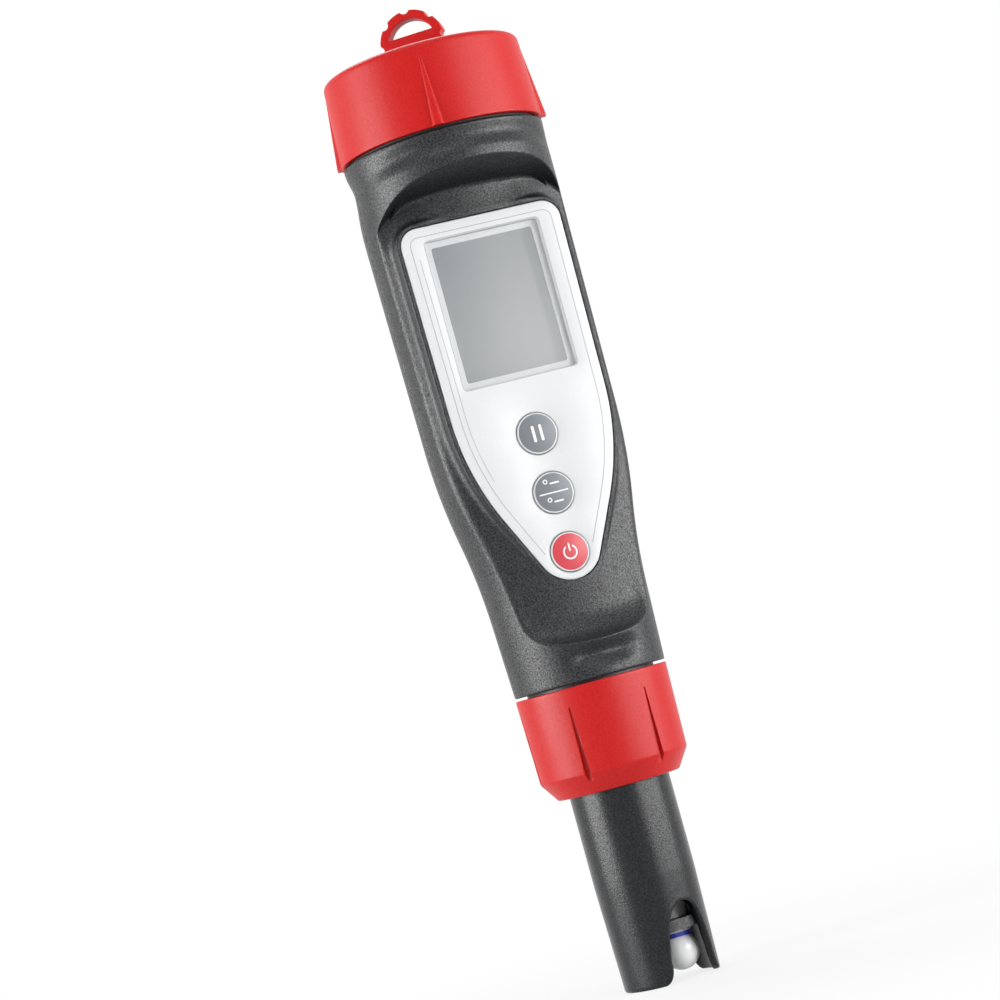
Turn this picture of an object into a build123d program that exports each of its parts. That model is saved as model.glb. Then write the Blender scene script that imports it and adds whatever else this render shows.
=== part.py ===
from build123d import *
from math import cos, radians, sin, tan
import os

# Pen-type pH tester with a screw battery cap, three keys and a replaceable probe.
# It stands along +Z with the probe's tip at the origin, its front faces -Y and +X is
# to the right. Sizes are in millimetres and degrees. A depth is a distance from the
# pen's axis towards the front, and an azimuth turns from the front towards the right.

# Lengths along the pen, from the tip up
probe_reach = 37.8
ring_height = 20.0
ring_gap = 0.5
body_length = 105.1
cap_gap = 0.6
cap_height = 16.3

# Body outline, a collar that flares out to the grip
collar_radius = 14.6
collar_height = 14.7
collar_draft = 2.2
flare_radius = 115.0
flare_angle = 10.3
grip_draft = 0.8
shell_wall = 2.0
seam_gap = 0.12
tongue_height = 1.5
tongue_clearance = 0.1

# Front recess, a crowned face between two scooped ends
face_depth = 9.9
face_crown_radius = 40.0
recess_top_margin = 6.7
recess_bottom_margin = 6.7
recess_draft = 18.0
recess_top_half_width = 27.0
recess_bottom_half_width = 17.0
recess_top_corner = 16.0
recess_bottom_corner = 10.0
recess_reach = 22.0
arch_fillet = 0.8
scoop_fillet = 4.5

# Finger groove under the cap and thumb dimple on the collar
finger_groove_radius = 2.4
finger_groove_depth = 0.55
finger_groove_shift = 1.0
finger_groove_drop = 2.9
dimple_radius = 9.0
dimple_depth = 0.35
dimple_height = 3.2

# Front panel
panel_depth = 9.6
panel_thickness = 1.2
panel_length = 70.8
panel_drop = 15.7
panel_top_half_width = 15.95
panel_shoulder_half_width = 15.3
panel_flank_angle = 26.0
panel_tip_radius = 6.25
panel_shoulder_radius = 49.0
panel_corner_radius = 3.5
panel_clearance = 0.15
panel_rim = 0.75
rim_step = 0.1
pocket_floor = 1.6

# Display
window_width = 22.5
window_height = 28.7
window_drop = 17.35
window_corner = 0.6
window_clearance = 0.05
display_overlap = 0.95
display_thickness = 2.2
display_clearance = 0.3
frame_border = 1.0
frame_ledge = 0.7
strip_width = 2.0

# Keys
key_pitch = 11.45
power_key_height = 5.2
key_radius = 3.9
power_key_radius = 3.7
key_clearance = 0.1
key_proud = 0.3
key_flange = 0.7
key_travel = 0.5
key_stem_radius = 1.5
dome_height = 0.7
dome_radius = 2.6

# Main board
board_gap = 3.0
board_thickness = 1.6
board_half_width = 13.5
board_foot_half_width = 9.5
board_foot_gap = 8.1
board_shoulder_height = 26.0
board_top_gap = 10.4
screw_radius = 1.1
screw_clearance = 0.1
screw_tip_gap = 0.4
screw_head_radius = 1.9
screw_head_height = 1.2
post_radius = 2.2
post_edge = 3.0
chip_thickness = 1.2
chip_places = [(0.0, 41.0, 9.0, 9.0), (-3.5, 17.0, 5.0, 4.0), (4.0, 28.0, 3.2, 1.5)]

# Battery cells and the tube that holds them
cell_radius = 5.25
cell_length = 44.5
nub_radius = 1.9
nub_height = 0.8
cell_half_spacing = 5.9
cell_set_back = 5.9
cell_clearance = 0.2
cell_sink = 3.0
tube_wall = 1.3
tube_floor = 1.4
contact_height = 1.0
contact_width = 5.0
contact_sheet = 0.4
saddle_rises = [6.0, 24.0]
saddle_thickness = 1.6

# Threaded neck, sealing ring and cap
neck_clearance = 0.2
neck_wall = 1.9
neck_height = 11.1
neck_floor_drop = 4.9
neck_floor_thickness = 1.6
neck_flange = 0.8
neck_flange_height = 1.8
neck_flange_rise = 1.0
cap_seal_radius = 0.55
thread_clearance = 0.1
cap_rim_radius = 19.2
cap_lip_radius = 19.8
cap_edge_radius = 1.1
cap_crown_height = 2.4
cap_top_thickness = 2.2
cap_shoulder_gap = 0.5
seal_relief = 0.15
rib_azimuth = -15.5
rib_count = 4
rib_length = 13.9
rib_width = 2.1
rib_proud = 0.85
rib_tip_share = 0.2
wedge_narrowing = 0.6

# Lanyard loop
loop_azimuth = -26.0
loop_thickness = 3.6
loop_radius = 6.25
loop_centre_rise = 3.9
loop_teeth = 8
tooth_gap_radius = 1.0
tooth_gap_depth = 0.6
hole_radius = 4.6
hole_sill = 1.5

# Contact plate, which rises with the cap and is keyed in the neck
plate_thickness = 1.6
plate_sink = 1.5
plate_clearance = 0.4
key_slot_width = 3.2
key_slot_depth = 1.2
key_slot_clearance = 0.15
key_leg_length = 7.4
boss_radius = 4.0
stem_radius = 2.0
clip_radius = 3.6
clip_thickness = 0.8
seat_clearance = 0.05
bridge_sheet = 0.3

# Nose, ring and socket
nose_wall = 3.2
nose_rib = 1.0
nose_rib_height = 1.8
nose_rib_rise = 1.2
nose_top_rise = 4.6
nose_lip_height = 1.0
nose_lip = 1.4
ring_top_radius = 14.66
ring_low_radius = 14.26
ring_foot_radius = 11.8
ring_chamfer_height = 3.7
ring_lip_thickness = 2.2
groove_azimuth = 23.0
groove_count = 6
groove_top = 3.6
groove_narrow = 0.5
groove_wide = 1.9
groove_shallow = 0.3
groove_deep = 1.2
socket_clearance = 0.1
terminal_width = 0.6
terminal_sheet = 0.4
terminal_overlap = 3.0

# Probe
sleeve_radius = 9.65
sleeve_tip_radius = 9.2
sleeve_taper_height = 20.0
sleeve_bore_radius = 7.9
sleeve_edge_radius = 0.5
seat_step = 0.45
sleeve_clearance = 0.1
flange_clearance = 0.5
flange_thickness = 2.4
gasket_thickness = 0.75
plug_clearance = 0.3
plug_gap = 0.5
spigot_length = 4.4
spigot_clearance = 0.05
pin_count = 4
pin_pitch = 2.6
pin_radius = 0.5
pin_length = 4.8
pin_root = 3.0
pin_clearance = 0.05
seal_radius = 0.85
seal_clearance = 0.05
seal_count = 2
seal_pitch = 5.0
notch_height = 14.4
notch_half_angle = 31.0
notch_spread = 67.0
prong_azimuth = 90.0

# Glass electrode, reference and temperature sensor
bulb_offset = 3.0
bulb_radius = 3.7
bulb_rise = 1.2
bulb_wall = 0.4
bulb_neck_height = 6.4
joint_height = 0.8
joint_radius = 2.9
electrode_radius = 3.0
electrode_wall = 0.8
wire_radius = 0.4
wire_rise = 1.9
disc_height = 9.2
disc_thickness = 2.0
disc_clearance = 0.05
junction_radius = 1.3
junction_azimuth = 190.0
junction_offset = 5.8
junction_length = 3.4
junction_proud = 0.6
sensor_radius = 1.4
sensor_azimuth = 233.0
sensor_offset = 5.4
sensor_rise = 2.5

# Heights worked out from the lengths
ring_bottom = probe_reach
ring_top = ring_bottom + ring_height
body_bottom = ring_top + ring_gap
body_top = body_bottom + body_length
cap_lip = body_top + cap_gap
cap_rim = cap_lip + cap_height
panel_top = body_top - panel_drop
panel_tip = panel_top - panel_length
window_centre = panel_top - window_drop
key_heights = [panel_tip + power_key_height + i * key_pitch for i in (2, 1, 0)]
neck_floor = body_top - neck_floor_drop
neck_top = body_top + neck_height
flange_bottom = ring_bottom + ring_lip_thickness + seat_clearance
flange_top = flange_bottom + flange_thickness
nose_bottom = flange_top + gasket_thickness + seat_clearance
nose_top = body_bottom + nose_top_rise
lip_bottom = body_bottom - nose_lip_height - neck_clearance
plug_top = lip_bottom - plug_gap
cell_top = neck_top - cell_sink
cell_bottom = cell_top - cell_length
tube_bottom = cell_bottom - contact_height - tube_floor
plate_top = neck_top - plate_sink + plate_thickness
plate_bottom = plate_top - plate_thickness
neck_flange_low = neck_floor + neck_flange_rise
nose_rib_low = body_bottom + nose_rib_rise
spigot_bottom = flange_top - spigot_length
stem_top = spigot_bottom - seat_clearance
seal_heights = [nose_bottom + (i + 0.75) * seal_pitch for i in range(seal_count)]
bulb_neck = bulb_rise + bulb_neck_height
board_bottom = body_bottom + board_foot_gap
board_top = body_top - board_top_gap

# Depths from the axis towards the front
panel_back = panel_depth - panel_thickness
inner_face = panel_back - pocket_floor
board_front = inner_face - board_gap
board_back = board_front - board_thickness
display_front = panel_back - window_clearance
display_back = display_front - display_thickness

# Radii
flare_rise = flare_radius * (cos(radians(collar_draft)) - cos(radians(flare_angle)))
flare_return = flare_radius * (cos(radians(grip_draft)) - cos(radians(flare_angle)))
flare_height = flare_radius * (sin(radians(flare_angle)) - sin(radians(collar_draft)))
return_height = flare_radius * (sin(radians(flare_angle)) - sin(radians(grip_draft)))
grip_height = body_length - collar_height - flare_height - return_height
grip_radius = collar_radius + collar_height * tan(radians(collar_draft)) + flare_rise + flare_return
body_top_radius = grip_radius + grip_height * tan(radians(grip_draft))
neck_radius = body_top_radius - shell_wall - neck_clearance
neck_bore = neck_radius - neck_wall
nose_radius = collar_radius - shell_wall - neck_clearance - thread_clearance
nose_bore = nose_radius - nose_wall
plug_radius = nose_bore - plug_clearance
sleeve_seat_radius = sleeve_radius + seat_step
flange_radius = nose_radius + thread_clearance - flange_clearance
pin_set_back = terminal_sheet / 2 - board_back
cap_bore = neck_radius + thread_clearance
tube_radius = cell_radius + cell_clearance + tube_wall
beyond = 60.0


def between(low, high):
    """A wide slab between two heights."""
    return Pos(0, 0, (low + high) / 2) * Box(beyond, beyond, high - low)


def disc(radius, low, high, x=0.0, y=0.0):
    """A round bar along the pen between two heights."""
    return Pos(x, y, (low + high) / 2) * Cylinder(radius, high - low)


def ring(outer, inner, low, high):
    """A plain ring between two heights."""
    return disc(outer, low, high) - disc(inner, low, high)


def block(width, depth, low, high, x=0.0, y=0.0):
    """A block between two heights, centred on x and y."""
    return Pos(x, y, (low + high) / 2) * Box(width, depth, high - low)


def front_plate(outline, front, back):
    """An outline drawn as seen from the front, thickened between two depths."""
    return extrude(Plane.XZ.offset(back) * outline, amount=front - back)


def turned(points):
    """A closed outline of radius and height points, turned about the pen's axis."""
    return revolve(Plane.XZ * make_face(Polyline(points, close=True)), Axis.Z)


def all_round(piece, count, start):
    """Copies of a piece made at the front, spaced evenly round the pen."""
    return [Rot(0, 0, start + i * 360 / count) * piece for i in range(count)]


def polar(offset, azimuth):
    """X and Y of a point at a distance from the axis, on an azimuth."""
    return offset * sin(radians(azimuth)), -offset * cos(radians(azimuth))


def rounded(outline, radii):
    """A polygon with each corner rounded, given as pairs of a corner and a radius."""
    for corner, radius in radii:
        target = Vertex(*corner)
        vertex = min(outline.vertices(), key=lambda v: (v.center() - target.center()).length)
        outline = fillet(vertex, radius)
    return outline


def body_form(inset=0.0):
    """The body's outer form, or the same form drawn in by an inset."""
    foot = (collar_radius - inset, body_bottom)
    collar_slope = (sin(radians(collar_draft)), cos(radians(collar_draft)))
    flare_start = (foot[0] + collar_height * tan(radians(collar_draft)), body_bottom + collar_height)
    collar = Line(foot, flare_start)
    flare = JernArc(flare_start, collar_slope, flare_radius, collar_draft - flare_angle)
    settle = JernArc(flare @ 1, flare % 1, flare_radius, flare_angle - grip_draft)
    grip = Line(settle @ 1, (body_top_radius - inset, body_top))
    closing = Polyline((body_top_radius - inset, body_top), (0, body_top), (0, body_bottom), foot)
    return revolve(Plane.XZ * make_face([collar, flare, settle, grip, closing]), Axis.Z)


def face_crown(inset=0.0):
    """The wide cylinder whose front is the crowned face of the recess."""
    centre = face_crown_radius - face_depth
    return disc(face_crown_radius - inset, body_bottom, neck_floor, y=centre)


def panel_outline(grow=0.0):
    """The shield outline of the panel, or the same outline grown evenly."""
    half_angle = radians(panel_flank_angle)
    vertex = panel_tip - panel_tip_radius * (1 / sin(half_angle) - 1)
    shoulder = vertex + panel_shoulder_half_width / tan(half_angle)
    right = [(panel_shoulder_half_width, shoulder), (panel_top_half_width, panel_top)]
    left = [(-x, z) for x, z in reversed(right)]
    outline = make_face(Polyline([(0, vertex), *right, *left], close=True))
    corners = [(right[1], panel_corner_radius), (left[0], panel_corner_radius)]
    corners += [(right[0], panel_shoulder_radius), (left[1], panel_shoulder_radius)]
    outline = rounded(outline, [*corners, ((0, vertex), panel_tip_radius)])
    return offset(outline, grow) if grow else outline


def window_outline(grow=0.0):
    """The window's rectangle as seen from the front."""
    size = (window_width + 2 * grow, window_height + 2 * grow)
    return Pos(0, window_centre) * RectangleRounded(*size, window_corner)


def key_size(height):
    """A key's radius, which is smaller on the power key at the foot."""
    return power_key_radius if height == key_heights[-1] else key_radius


def key_circles(grow):
    """The three keys as seen from the front, grown by a clearance."""
    circles = [Pos(0, height) * Circle(key_size(height) + grow) for height in key_heights]
    return Sketch(children=circles)


def front_recess():
    """The solid cut away in front of the crowned face, with its scooped ends."""
    slope = tan(radians(recess_draft))
    top_lead = (recess_reach - body_top_radius) * slope
    foot_radius = collar_radius + recess_bottom_margin * tan(radians(collar_draft))
    top = body_top - recess_top_margin + top_lead
    bottom = body_bottom + recess_bottom_margin - (recess_reach - foot_radius) * slope
    widest = body_bottom + collar_height + flare_height + return_height / 2
    right = [
        (recess_bottom_half_width, bottom),
        (recess_top_half_width, widest),
        (recess_top_half_width, top),
    ]
    left = [(-x, z) for x, z in reversed(right)]
    outline = make_face(Polyline([*right, *left], close=True))
    corners = [(right[2], recess_top_corner), (left[0], recess_top_corner)]
    corners += [(right[0], recess_bottom_corner), (left[2], recess_bottom_corner)]
    outline = rounded(outline, corners)
    cut = extrude(Plane.XZ.offset(recess_reach) * outline, amount=-recess_reach, taper=recess_draft)
    cut -= face_crown()
    cut = soften(cut, body_bottom, panel_tip, scoop_fillet)
    return soften(cut, window_centre, cap_lip, arch_fillet)


def soften(cut, low, high, radius):
    """Round the ends of the crowned face of the recess that lie between two heights."""
    face = cut.faces().filter_by(GeomType.CYLINDER).sort_by(SortBy.AREA)[-1]
    spans = [(edge, edge.bounding_box()) for edge in face.edges()]
    ends = [edge for edge, span in spans if low < span.min.Z and span.max.Z < high]
    return fillet(ends, radius)


def body_cavity():
    """The hollow of both shells, kept back from the recessed face."""
    hollow = body_form(shell_wall)
    face_low = nose_top + neck_clearance
    behind_face = block(beyond, beyond, face_low, neck_floor, y=beyond / 2 - inner_face)
    foot = hollow & between(body_bottom, face_low)
    middle = hollow & behind_face & face_crown(shell_wall)
    top = hollow & between(neck_floor, body_top)
    return foot + middle + top


def mounting_groove(radius, low, height):
    """The room for a round collar, with a little clearance all over it."""
    return disc(radius + seat_clearance, low - seat_clearance, low + height + seat_clearance)


def mounting_grooves():
    """The grooves that trap the flange of the neck and the rib of the nose."""
    neck_groove = mounting_groove(neck_radius + neck_flange, neck_flange_low, neck_flange_height)
    nose_groove = mounting_groove(nose_radius + nose_rib, nose_rib_low, nose_rib_height)
    return [neck_groove, nose_groove]


def half_space(side):
    """The space in front of the seam, side -1, or behind it, side 1."""
    return block(beyond, beyond, body_bottom, body_top, y=side * (beyond + seam_gap) / 2)


def finger_groove():
    """A shallow crescent round the front of the body, just under the cap."""
    inner_radius = body_top_radius - finger_groove_depth + finger_groove_shift
    groove = Torus(inner_radius + finger_groove_radius, finger_groove_radius)
    return Pos(0, finger_groove_shift, body_top - finger_groove_drop) * groove


def board_post_places():
    """X and height of the four posts that the main board is screwed to."""
    low = (board_foot_half_width - post_edge, board_bottom + post_edge)
    high = (board_half_width - post_edge, board_top - post_edge)
    return [(side * x, z) for x, z in (low, high) for side in (-1, 1)]


def make_front_shell():
    """The front half, with the recess, the panel's pocket and the board's posts."""
    recess = front_recess()
    shell = body_form() - recess
    pedestal = front_plate(panel_outline(panel_clearance + panel_rim), panel_depth - rim_step, board_front)
    shell += pedestal & body_form()
    shell -= front_plate(panel_outline(panel_clearance), recess_reach, panel_back)
    shell -= body_cavity()
    for x, z in board_post_places():
        shell += front_plate(Pos(x, z) * Circle(post_radius), inner_face, board_front)
        shell -= front_plate(Pos(x, z) * Circle(screw_radius), inner_face - screw_tip_gap, board_front)
    shell -= front_plate(display_outline(display_clearance), recess_reach, inner_face)
    shell -= front_plate(display_outline(frame_border + display_clearance), inner_face, board_front)
    shell -= front_plate(key_circles(key_clearance), recess_reach, inner_face)
    shell -= finger_groove()
    dimple_centre = collar_radius + dimple_radius - dimple_depth
    shell -= Pos(0, -dimple_centre, body_bottom + dimple_height) * Sphere(dimple_radius)
    rebate = block(beyond, 2 * (tongue_height + tongue_clearance), body_bottom, body_top)
    shell -= body_form(shell_wall / 2) & rebate
    shell -= mounting_grooves()
    return shell & half_space(-1)


def make_rear_shell():
    """The rear half, with the tongue along the seam and two saddles for the battery tube."""
    hollow = body_form(shell_wall)
    shell = (body_form() - hollow) & half_space(1)
    band = block(beyond, 2 * tongue_height, body_bottom, body_top)
    shell += (body_form(shell_wall / 2 + tongue_clearance) - hollow) & band
    behind = block(beyond, beyond, body_bottom, body_top, y=beyond / 2 + cell_set_back + tube_radius / 2)
    for rise in saddle_rises:
        saddle = hollow & behind & between(tube_bottom + rise, tube_bottom + rise + saddle_thickness)
        shell += saddle - tube_prism(tube_bottom, neck_floor, seat_clearance)
    return shell - mounting_grooves()


def tube_prism(low, high, grow=0.0):
    """The outside of the twin battery tube between two heights."""
    outline = SlotCenterToCenter(2 * cell_half_spacing, 2 * (tube_radius + grow))
    return Pos(0, cell_set_back, low) * extrude(outline, high - low)


def cell_bores(low, high, radius):
    """Two round bars at the places of the battery cells."""
    return [disc(radius, low, high, side * cell_half_spacing, cell_set_back) for side in (-1, 1)]


def key_slots(width, inner, outer, low, high):
    """Two bars, left and right, for the contact plate's legs or their slots."""
    middle = (inner + outer) / 2
    return [block(outer - inner, width, low, high, x=side * middle) for side in (-1, 1)]


def make_battery_barrel():
    """The threaded neck with its flange, and the twin tube that hangs from its floor."""
    barrel = ring(neck_radius, neck_bore, neck_floor, neck_top)
    barrel += disc(neck_radius, neck_floor, neck_floor + neck_floor_thickness)
    barrel += ring(
        neck_radius + neck_flange, neck_bore, neck_flange_low, neck_flange_low + neck_flange_height
    )
    barrel += tube_prism(tube_bottom, neck_floor)
    barrel -= cell_bores(tube_bottom + tube_floor, neck_top, cell_radius + cell_clearance)
    slot_low = plate_top - key_leg_length - plate_clearance
    barrel -= key_slots(key_slot_width, neck_bore - 1, neck_bore + key_slot_depth, slot_low, neck_top)
    for side in (-1, 1):
        slot_depth = cell_set_back + board_back
        barrel -= block(
            contact_width + 2 * cell_clearance, slot_depth, tube_bottom + tube_floor,
            tube_bottom + tube_floor + contact_height, side * cell_half_spacing, slot_depth / 2 - board_back,
        )
    return barrel


def make_battery_cell(side):
    """One round cell. The right one, side 1, stands upside down."""
    x = side * cell_half_spacing
    nub_low = cell_top - nub_height if side < 0 else cell_bottom
    body_low = cell_bottom if side < 0 else cell_bottom + nub_height
    cell = disc(cell_radius, body_low, body_low + cell_length - nub_height, x, cell_set_back)
    cell = fillet(cell.edges().filter_by(GeomType.CIRCLE), cell_clearance)
    return cell + disc(nub_radius, nub_low, nub_low + nub_height, x, cell_set_back)


def make_lower_contact(side):
    """A strip that runs from under one cell to the back of the board."""
    x = side * cell_half_spacing
    low = tube_bottom + tube_floor
    reach = cell_set_back + contact_width / 2 + board_back
    strip = block(contact_width, reach, low, low + contact_sheet, x, reach / 2 - board_back)
    strip += disc(nub_radius, low, cell_bottom - seat_clearance, x, cell_set_back)
    tab_middle = contact_sheet / 2 - board_back
    return strip + block(contact_width, contact_sheet, low - contact_width, low, x, tab_middle)


def make_cap_seal():
    """The sealing ring that lies on the body's top round the neck."""
    seal = Torus(neck_radius + seat_clearance + cap_seal_radius, cap_seal_radius)
    return Pos(0, 0, body_top + cap_seal_radius) * seal


def make_front_panel():
    """The shield-shaped panel with its window and key openings."""
    outline = panel_outline() - window_outline(window_clearance) - key_circles(key_clearance)
    return front_plate(outline, panel_depth, panel_back)


def make_display_window():
    """The clear window, flush with the panel."""
    return front_plate(window_outline(), panel_depth, panel_back)


def display_outline(grow=0.0):
    """The display's rectangle, larger than the window by its border."""
    size = (window_width + 2 * (display_overlap + grow), window_height + 2 * (display_overlap + grow))
    return Pos(0, window_centre) * Rectangle(*size)


def make_lcd_glass():
    """The display itself."""
    return front_plate(display_outline(), display_front, display_back)


def make_lcd_frame():
    """The frame that holds the display off the board and centres it."""
    inside = display_outline(-frame_ledge)
    outside = display_outline(frame_border + window_clearance)
    ledge = front_plate(outside - inside, display_back, board_front)
    wall = outside - display_outline(window_clearance)
    return ledge + front_plate(wall, inner_face - seat_clearance, display_back)


def make_zebra_strips():
    """The two rubber connectors between the display and the board."""
    length = window_width + 2 * (display_overlap - frame_ledge)
    offset_z = window_height / 2 + display_overlap - frame_ledge - strip_width / 2
    heights = [window_centre + side * offset_z for side in (-1, 1)]
    strips = [Pos(0, z) * Rectangle(length, strip_width) for z in heights]
    return [front_plate(strip, display_back, board_front) for strip in strips]


def make_key(height):
    """One key, with a flange behind the face and a stem over its switch."""
    radius = key_size(height)
    shoulder = inner_face - seat_clearance
    head = front_plate(Pos(0, height) * Circle(radius), panel_depth + key_proud, shoulder)
    head = fillet(head.edges().sort_by(Axis.Y)[0], key_proud)
    flange = front_plate(Pos(0, height) * Circle(radius + key_flange), shoulder, shoulder - key_flange)
    stem_end = board_front + dome_height + key_travel + seat_clearance
    stem = front_plate(Pos(0, height) * Circle(key_stem_radius), shoulder - key_flange, stem_end)
    return head + flange + stem


def make_dome_switches():
    """Three snap domes on the board, one under each key."""
    half = dome_height / 2
    switches = []
    for height in key_heights:
        base = front_plate(Pos(0, height) * Circle(dome_radius), board_front + half, board_front)
        dome = Rot(90) * Cone(dome_radius - half, key_stem_radius, half)
        dome = Pos(0, -board_front - 1.5 * half, height) * dome
        switches.append(base + dome)
    return switches


def make_main_board():
    """The main board, narrower towards the probe, with its screw holes."""
    shoulder = board_bottom + board_shoulder_height
    right = [
        (board_foot_half_width, board_bottom),
        (board_half_width, shoulder),
        (board_half_width, board_top),
    ]
    left = [(-x, z) for x, z in reversed(right)]
    outline = make_face(Polyline([*right, *left], close=True))
    holes = [Pos(x, z) * Circle(screw_radius + screw_clearance) for x, z in board_post_places()]
    return front_plate(outline - Sketch(children=holes), board_front, board_back)


def make_board_screws():
    """Four screws through the board into the front shell's posts."""
    screws = []
    for x, z in board_post_places():
        shank = front_plate(Pos(x, z) * Circle(screw_radius), inner_face - screw_tip_gap, board_back)
        head = front_plate(Pos(x, z) * Circle(screw_head_radius), board_back, board_back - screw_head_height)
        screws.append(shank + head)
    return screws


def make_board_chips():
    """Processor, input amplifier and crystal on the back of the board."""
    chips = []
    for x, rise, width, height in chip_places:
        outline = Pos(x, board_bottom + rise) * Rectangle(width, height)
        chips.append(front_plate(outline, board_back, board_back - chip_thickness))
    return chips


def make_nose():
    """The threaded nose that the ring screws on, with the socket's seat inside."""
    nose = ring(nose_radius, nose_bore, nose_bottom, nose_top)
    nose += ring(nose_bore, nose_bore - nose_lip, lip_bottom, lip_bottom + nose_lip_height)
    rib_high = nose_rib_low + nose_rib_height
    return nose + ring(nose_radius + nose_rib, nose_radius, nose_rib_low, rib_high)


def pin_places():
    """X of the connector's pins, in one row behind the board's back face."""
    return [(i - (pin_count - 1) / 2) * pin_pitch for i in range(pin_count)]


def pin_row(radius, low, high):
    """A row of round bars at the connector's pins."""
    return [disc(radius, low, high, x, pin_set_back) for x in pin_places()]


def make_probe_socket():
    """The socket that the probe's pins plug into."""
    seat = lip_bottom + nose_lip_height
    socket = disc(nose_bore - socket_clearance, seat, nose_top)
    boss_low = lip_bottom + socket_clearance
    socket += disc(nose_bore - nose_lip - socket_clearance, boss_low, seat)
    return socket - pin_row(pin_radius + pin_clearance, boss_low, plug_top + pin_length + plug_gap)


def make_socket_terminals():
    """Four flat terminals from the socket up the back of the board."""
    high = board_bottom + terminal_overlap
    middle = terminal_sheet / 2 - board_back
    return [block(terminal_width, terminal_sheet, nose_top, high, x, middle) for x in pin_places()]


def trapezoid(width, low_radius, high_radius, height):
    """A trapezoid on the front side, wide at one radius and narrower at the other."""
    half = width / 2
    narrow = half * wedge_narrowing
    corners = [(-half, -low_radius), (-narrow, -high_radius), (narrow, -high_radius), (half, -low_radius)]
    return Pos(0, 0, height) * make_face(Polyline(corners, close=True))


def make_battery_cap():
    """The screw cap with its crown, wedge ribs, toothed loop and inner boss."""
    edge = (cap_rim_radius - cap_edge_radius, cap_rim)
    crown_sphere = (edge[0] ** 2 + cap_crown_height**2) / (2 * cap_crown_height)
    crown_middle = cap_rim + cap_crown_height - crown_sphere
    crown_half = (edge[0] / 2, crown_middle + (crown_sphere**2 - edge[0] ** 2 / 4) ** 0.5)
    wall = Line((cap_lip_radius, cap_lip), (cap_rim_radius, cap_rim - cap_edge_radius))
    corner = RadiusArc(wall @ 1, edge, -cap_edge_radius)
    crown = ThreePointArc(edge, crown_half, (0, cap_rim + cap_crown_height))
    closing = Polyline((0, cap_rim + cap_crown_height), (0, cap_lip), (cap_lip_radius, cap_lip))
    cap = revolve(Plane.XZ * make_face([wall, corner, crown, closing]), Axis.Z)
    for rib in all_round(cap_rib(), rib_count, rib_azimuth):
        cap += rib
    cap += Rot(0, 0, loop_azimuth) * lanyard_loop()
    ceiling = cap_rim - cap_top_thickness
    shoulder = neck_top + cap_shoulder_gap
    cap -= disc(cap_bore, cap_lip, shoulder)
    cap -= disc(neck_bore, shoulder, ceiling)
    seal_reach = 2 * cap_seal_radius + seat_clearance
    cap -= disc(neck_radius + seal_reach + seal_relief, cap_lip, body_top + seal_reach + seal_relief)
    cap += disc(boss_radius, plate_top + seat_clearance, ceiling)
    return cap + disc(stem_radius, plate_bottom - seat_clearance - clip_thickness, ceiling)


def cap_rib():
    """A raised wedge on the front of the cap, widest at the lip."""
    inner = cap_rim_radius - rib_proud
    foot = trapezoid(rib_width, inner, cap_lip_radius + rib_proud, cap_lip)
    tip_radius = cap_rim_radius + (cap_lip_radius - cap_rim_radius) * (1 - rib_length / cap_height)
    tip = trapezoid(rib_width * rib_tip_share, inner, tip_radius, cap_lip + rib_length)
    return loft([foot, tip])


def lanyard_loop():
    """A toothed half ring across the crown, with a hole that has a flat sill."""
    centre = cap_rim + loop_centre_rise
    outline = Circle(loop_radius)
    gap_offset = loop_radius - tooth_gap_depth + tooth_gap_radius
    for i in range(loop_teeth):
        outline -= Rot(0, 0, i * 360 / loop_teeth) * Pos(0, gap_offset) * Circle(tooth_gap_radius)
    hole = Circle(hole_radius) & Pos(0, hole_sill + hole_radius) * Rectangle(2 * loop_radius, 2 * hole_radius)
    plate = front_plate(Pos(0, centre) * (outline - hole), loop_thickness / 2, -loop_thickness / 2)
    return plate & between(cap_rim - cap_edge_radius, centre + loop_radius)


def make_contact_plate():
    """The plate that carries the bridge and rides in the neck on two legs."""
    plate = disc(neck_bore - plate_clearance, plate_bottom, plate_top)
    inner = neck_bore - plate_clearance - key_slot_depth
    outer = neck_bore + key_slot_depth - key_slot_clearance
    width = key_slot_width - 2 * key_slot_clearance
    for leg in key_slots(width, inner, outer, plate_top - key_leg_length, plate_top):
        plate += leg
    return plate - disc(stem_radius + thread_clearance, plate_bottom, plate_top)


def make_contact_bridge():
    """The sheet that joins the tops of both cells, with a pressed finger over each."""
    outline = SlotCenterToCenter(2 * cell_half_spacing, 2 * nub_radius)
    sheet_low = plate_bottom - bridge_sheet
    bridge = Pos(0, cell_set_back, sheet_low) * extrude(outline, bridge_sheet)
    for finger in cell_bores(cell_top + seat_clearance, sheet_low, nub_radius - bridge_sheet):
        bridge += finger
    return bridge


def make_plate_clip():
    """The clip that keeps the contact plate on the cap's stem."""
    high = plate_bottom - seat_clearance
    return ring(clip_radius, stem_radius, high - clip_thickness, high)


def make_probe_ring():
    """The ring nut that holds the probe, with its lip and wedge grooves."""
    bore = nose_radius + thread_clearance
    lip_top = ring_bottom + ring_lip_thickness
    mouth = sleeve_seat_radius + sleeve_clearance
    nut = turned([
        (mouth, ring_bottom),
        (ring_foot_radius, ring_bottom),
        (ring_low_radius, ring_bottom + ring_chamfer_height),
        (ring_top_radius, ring_top),
        (bore, ring_top),
        (bore, lip_top),
        (mouth, lip_top),
    ])
    outer = ring_top_radius + 1
    top = trapezoid(groove_narrow, outer, ring_top_radius - groove_shallow, ring_top - groove_top)
    foot = trapezoid(groove_wide, outer, ring_low_radius - groove_deep, ring_bottom)
    return nut - all_round(loft([foot, top]), groove_count, groove_azimuth)


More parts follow.
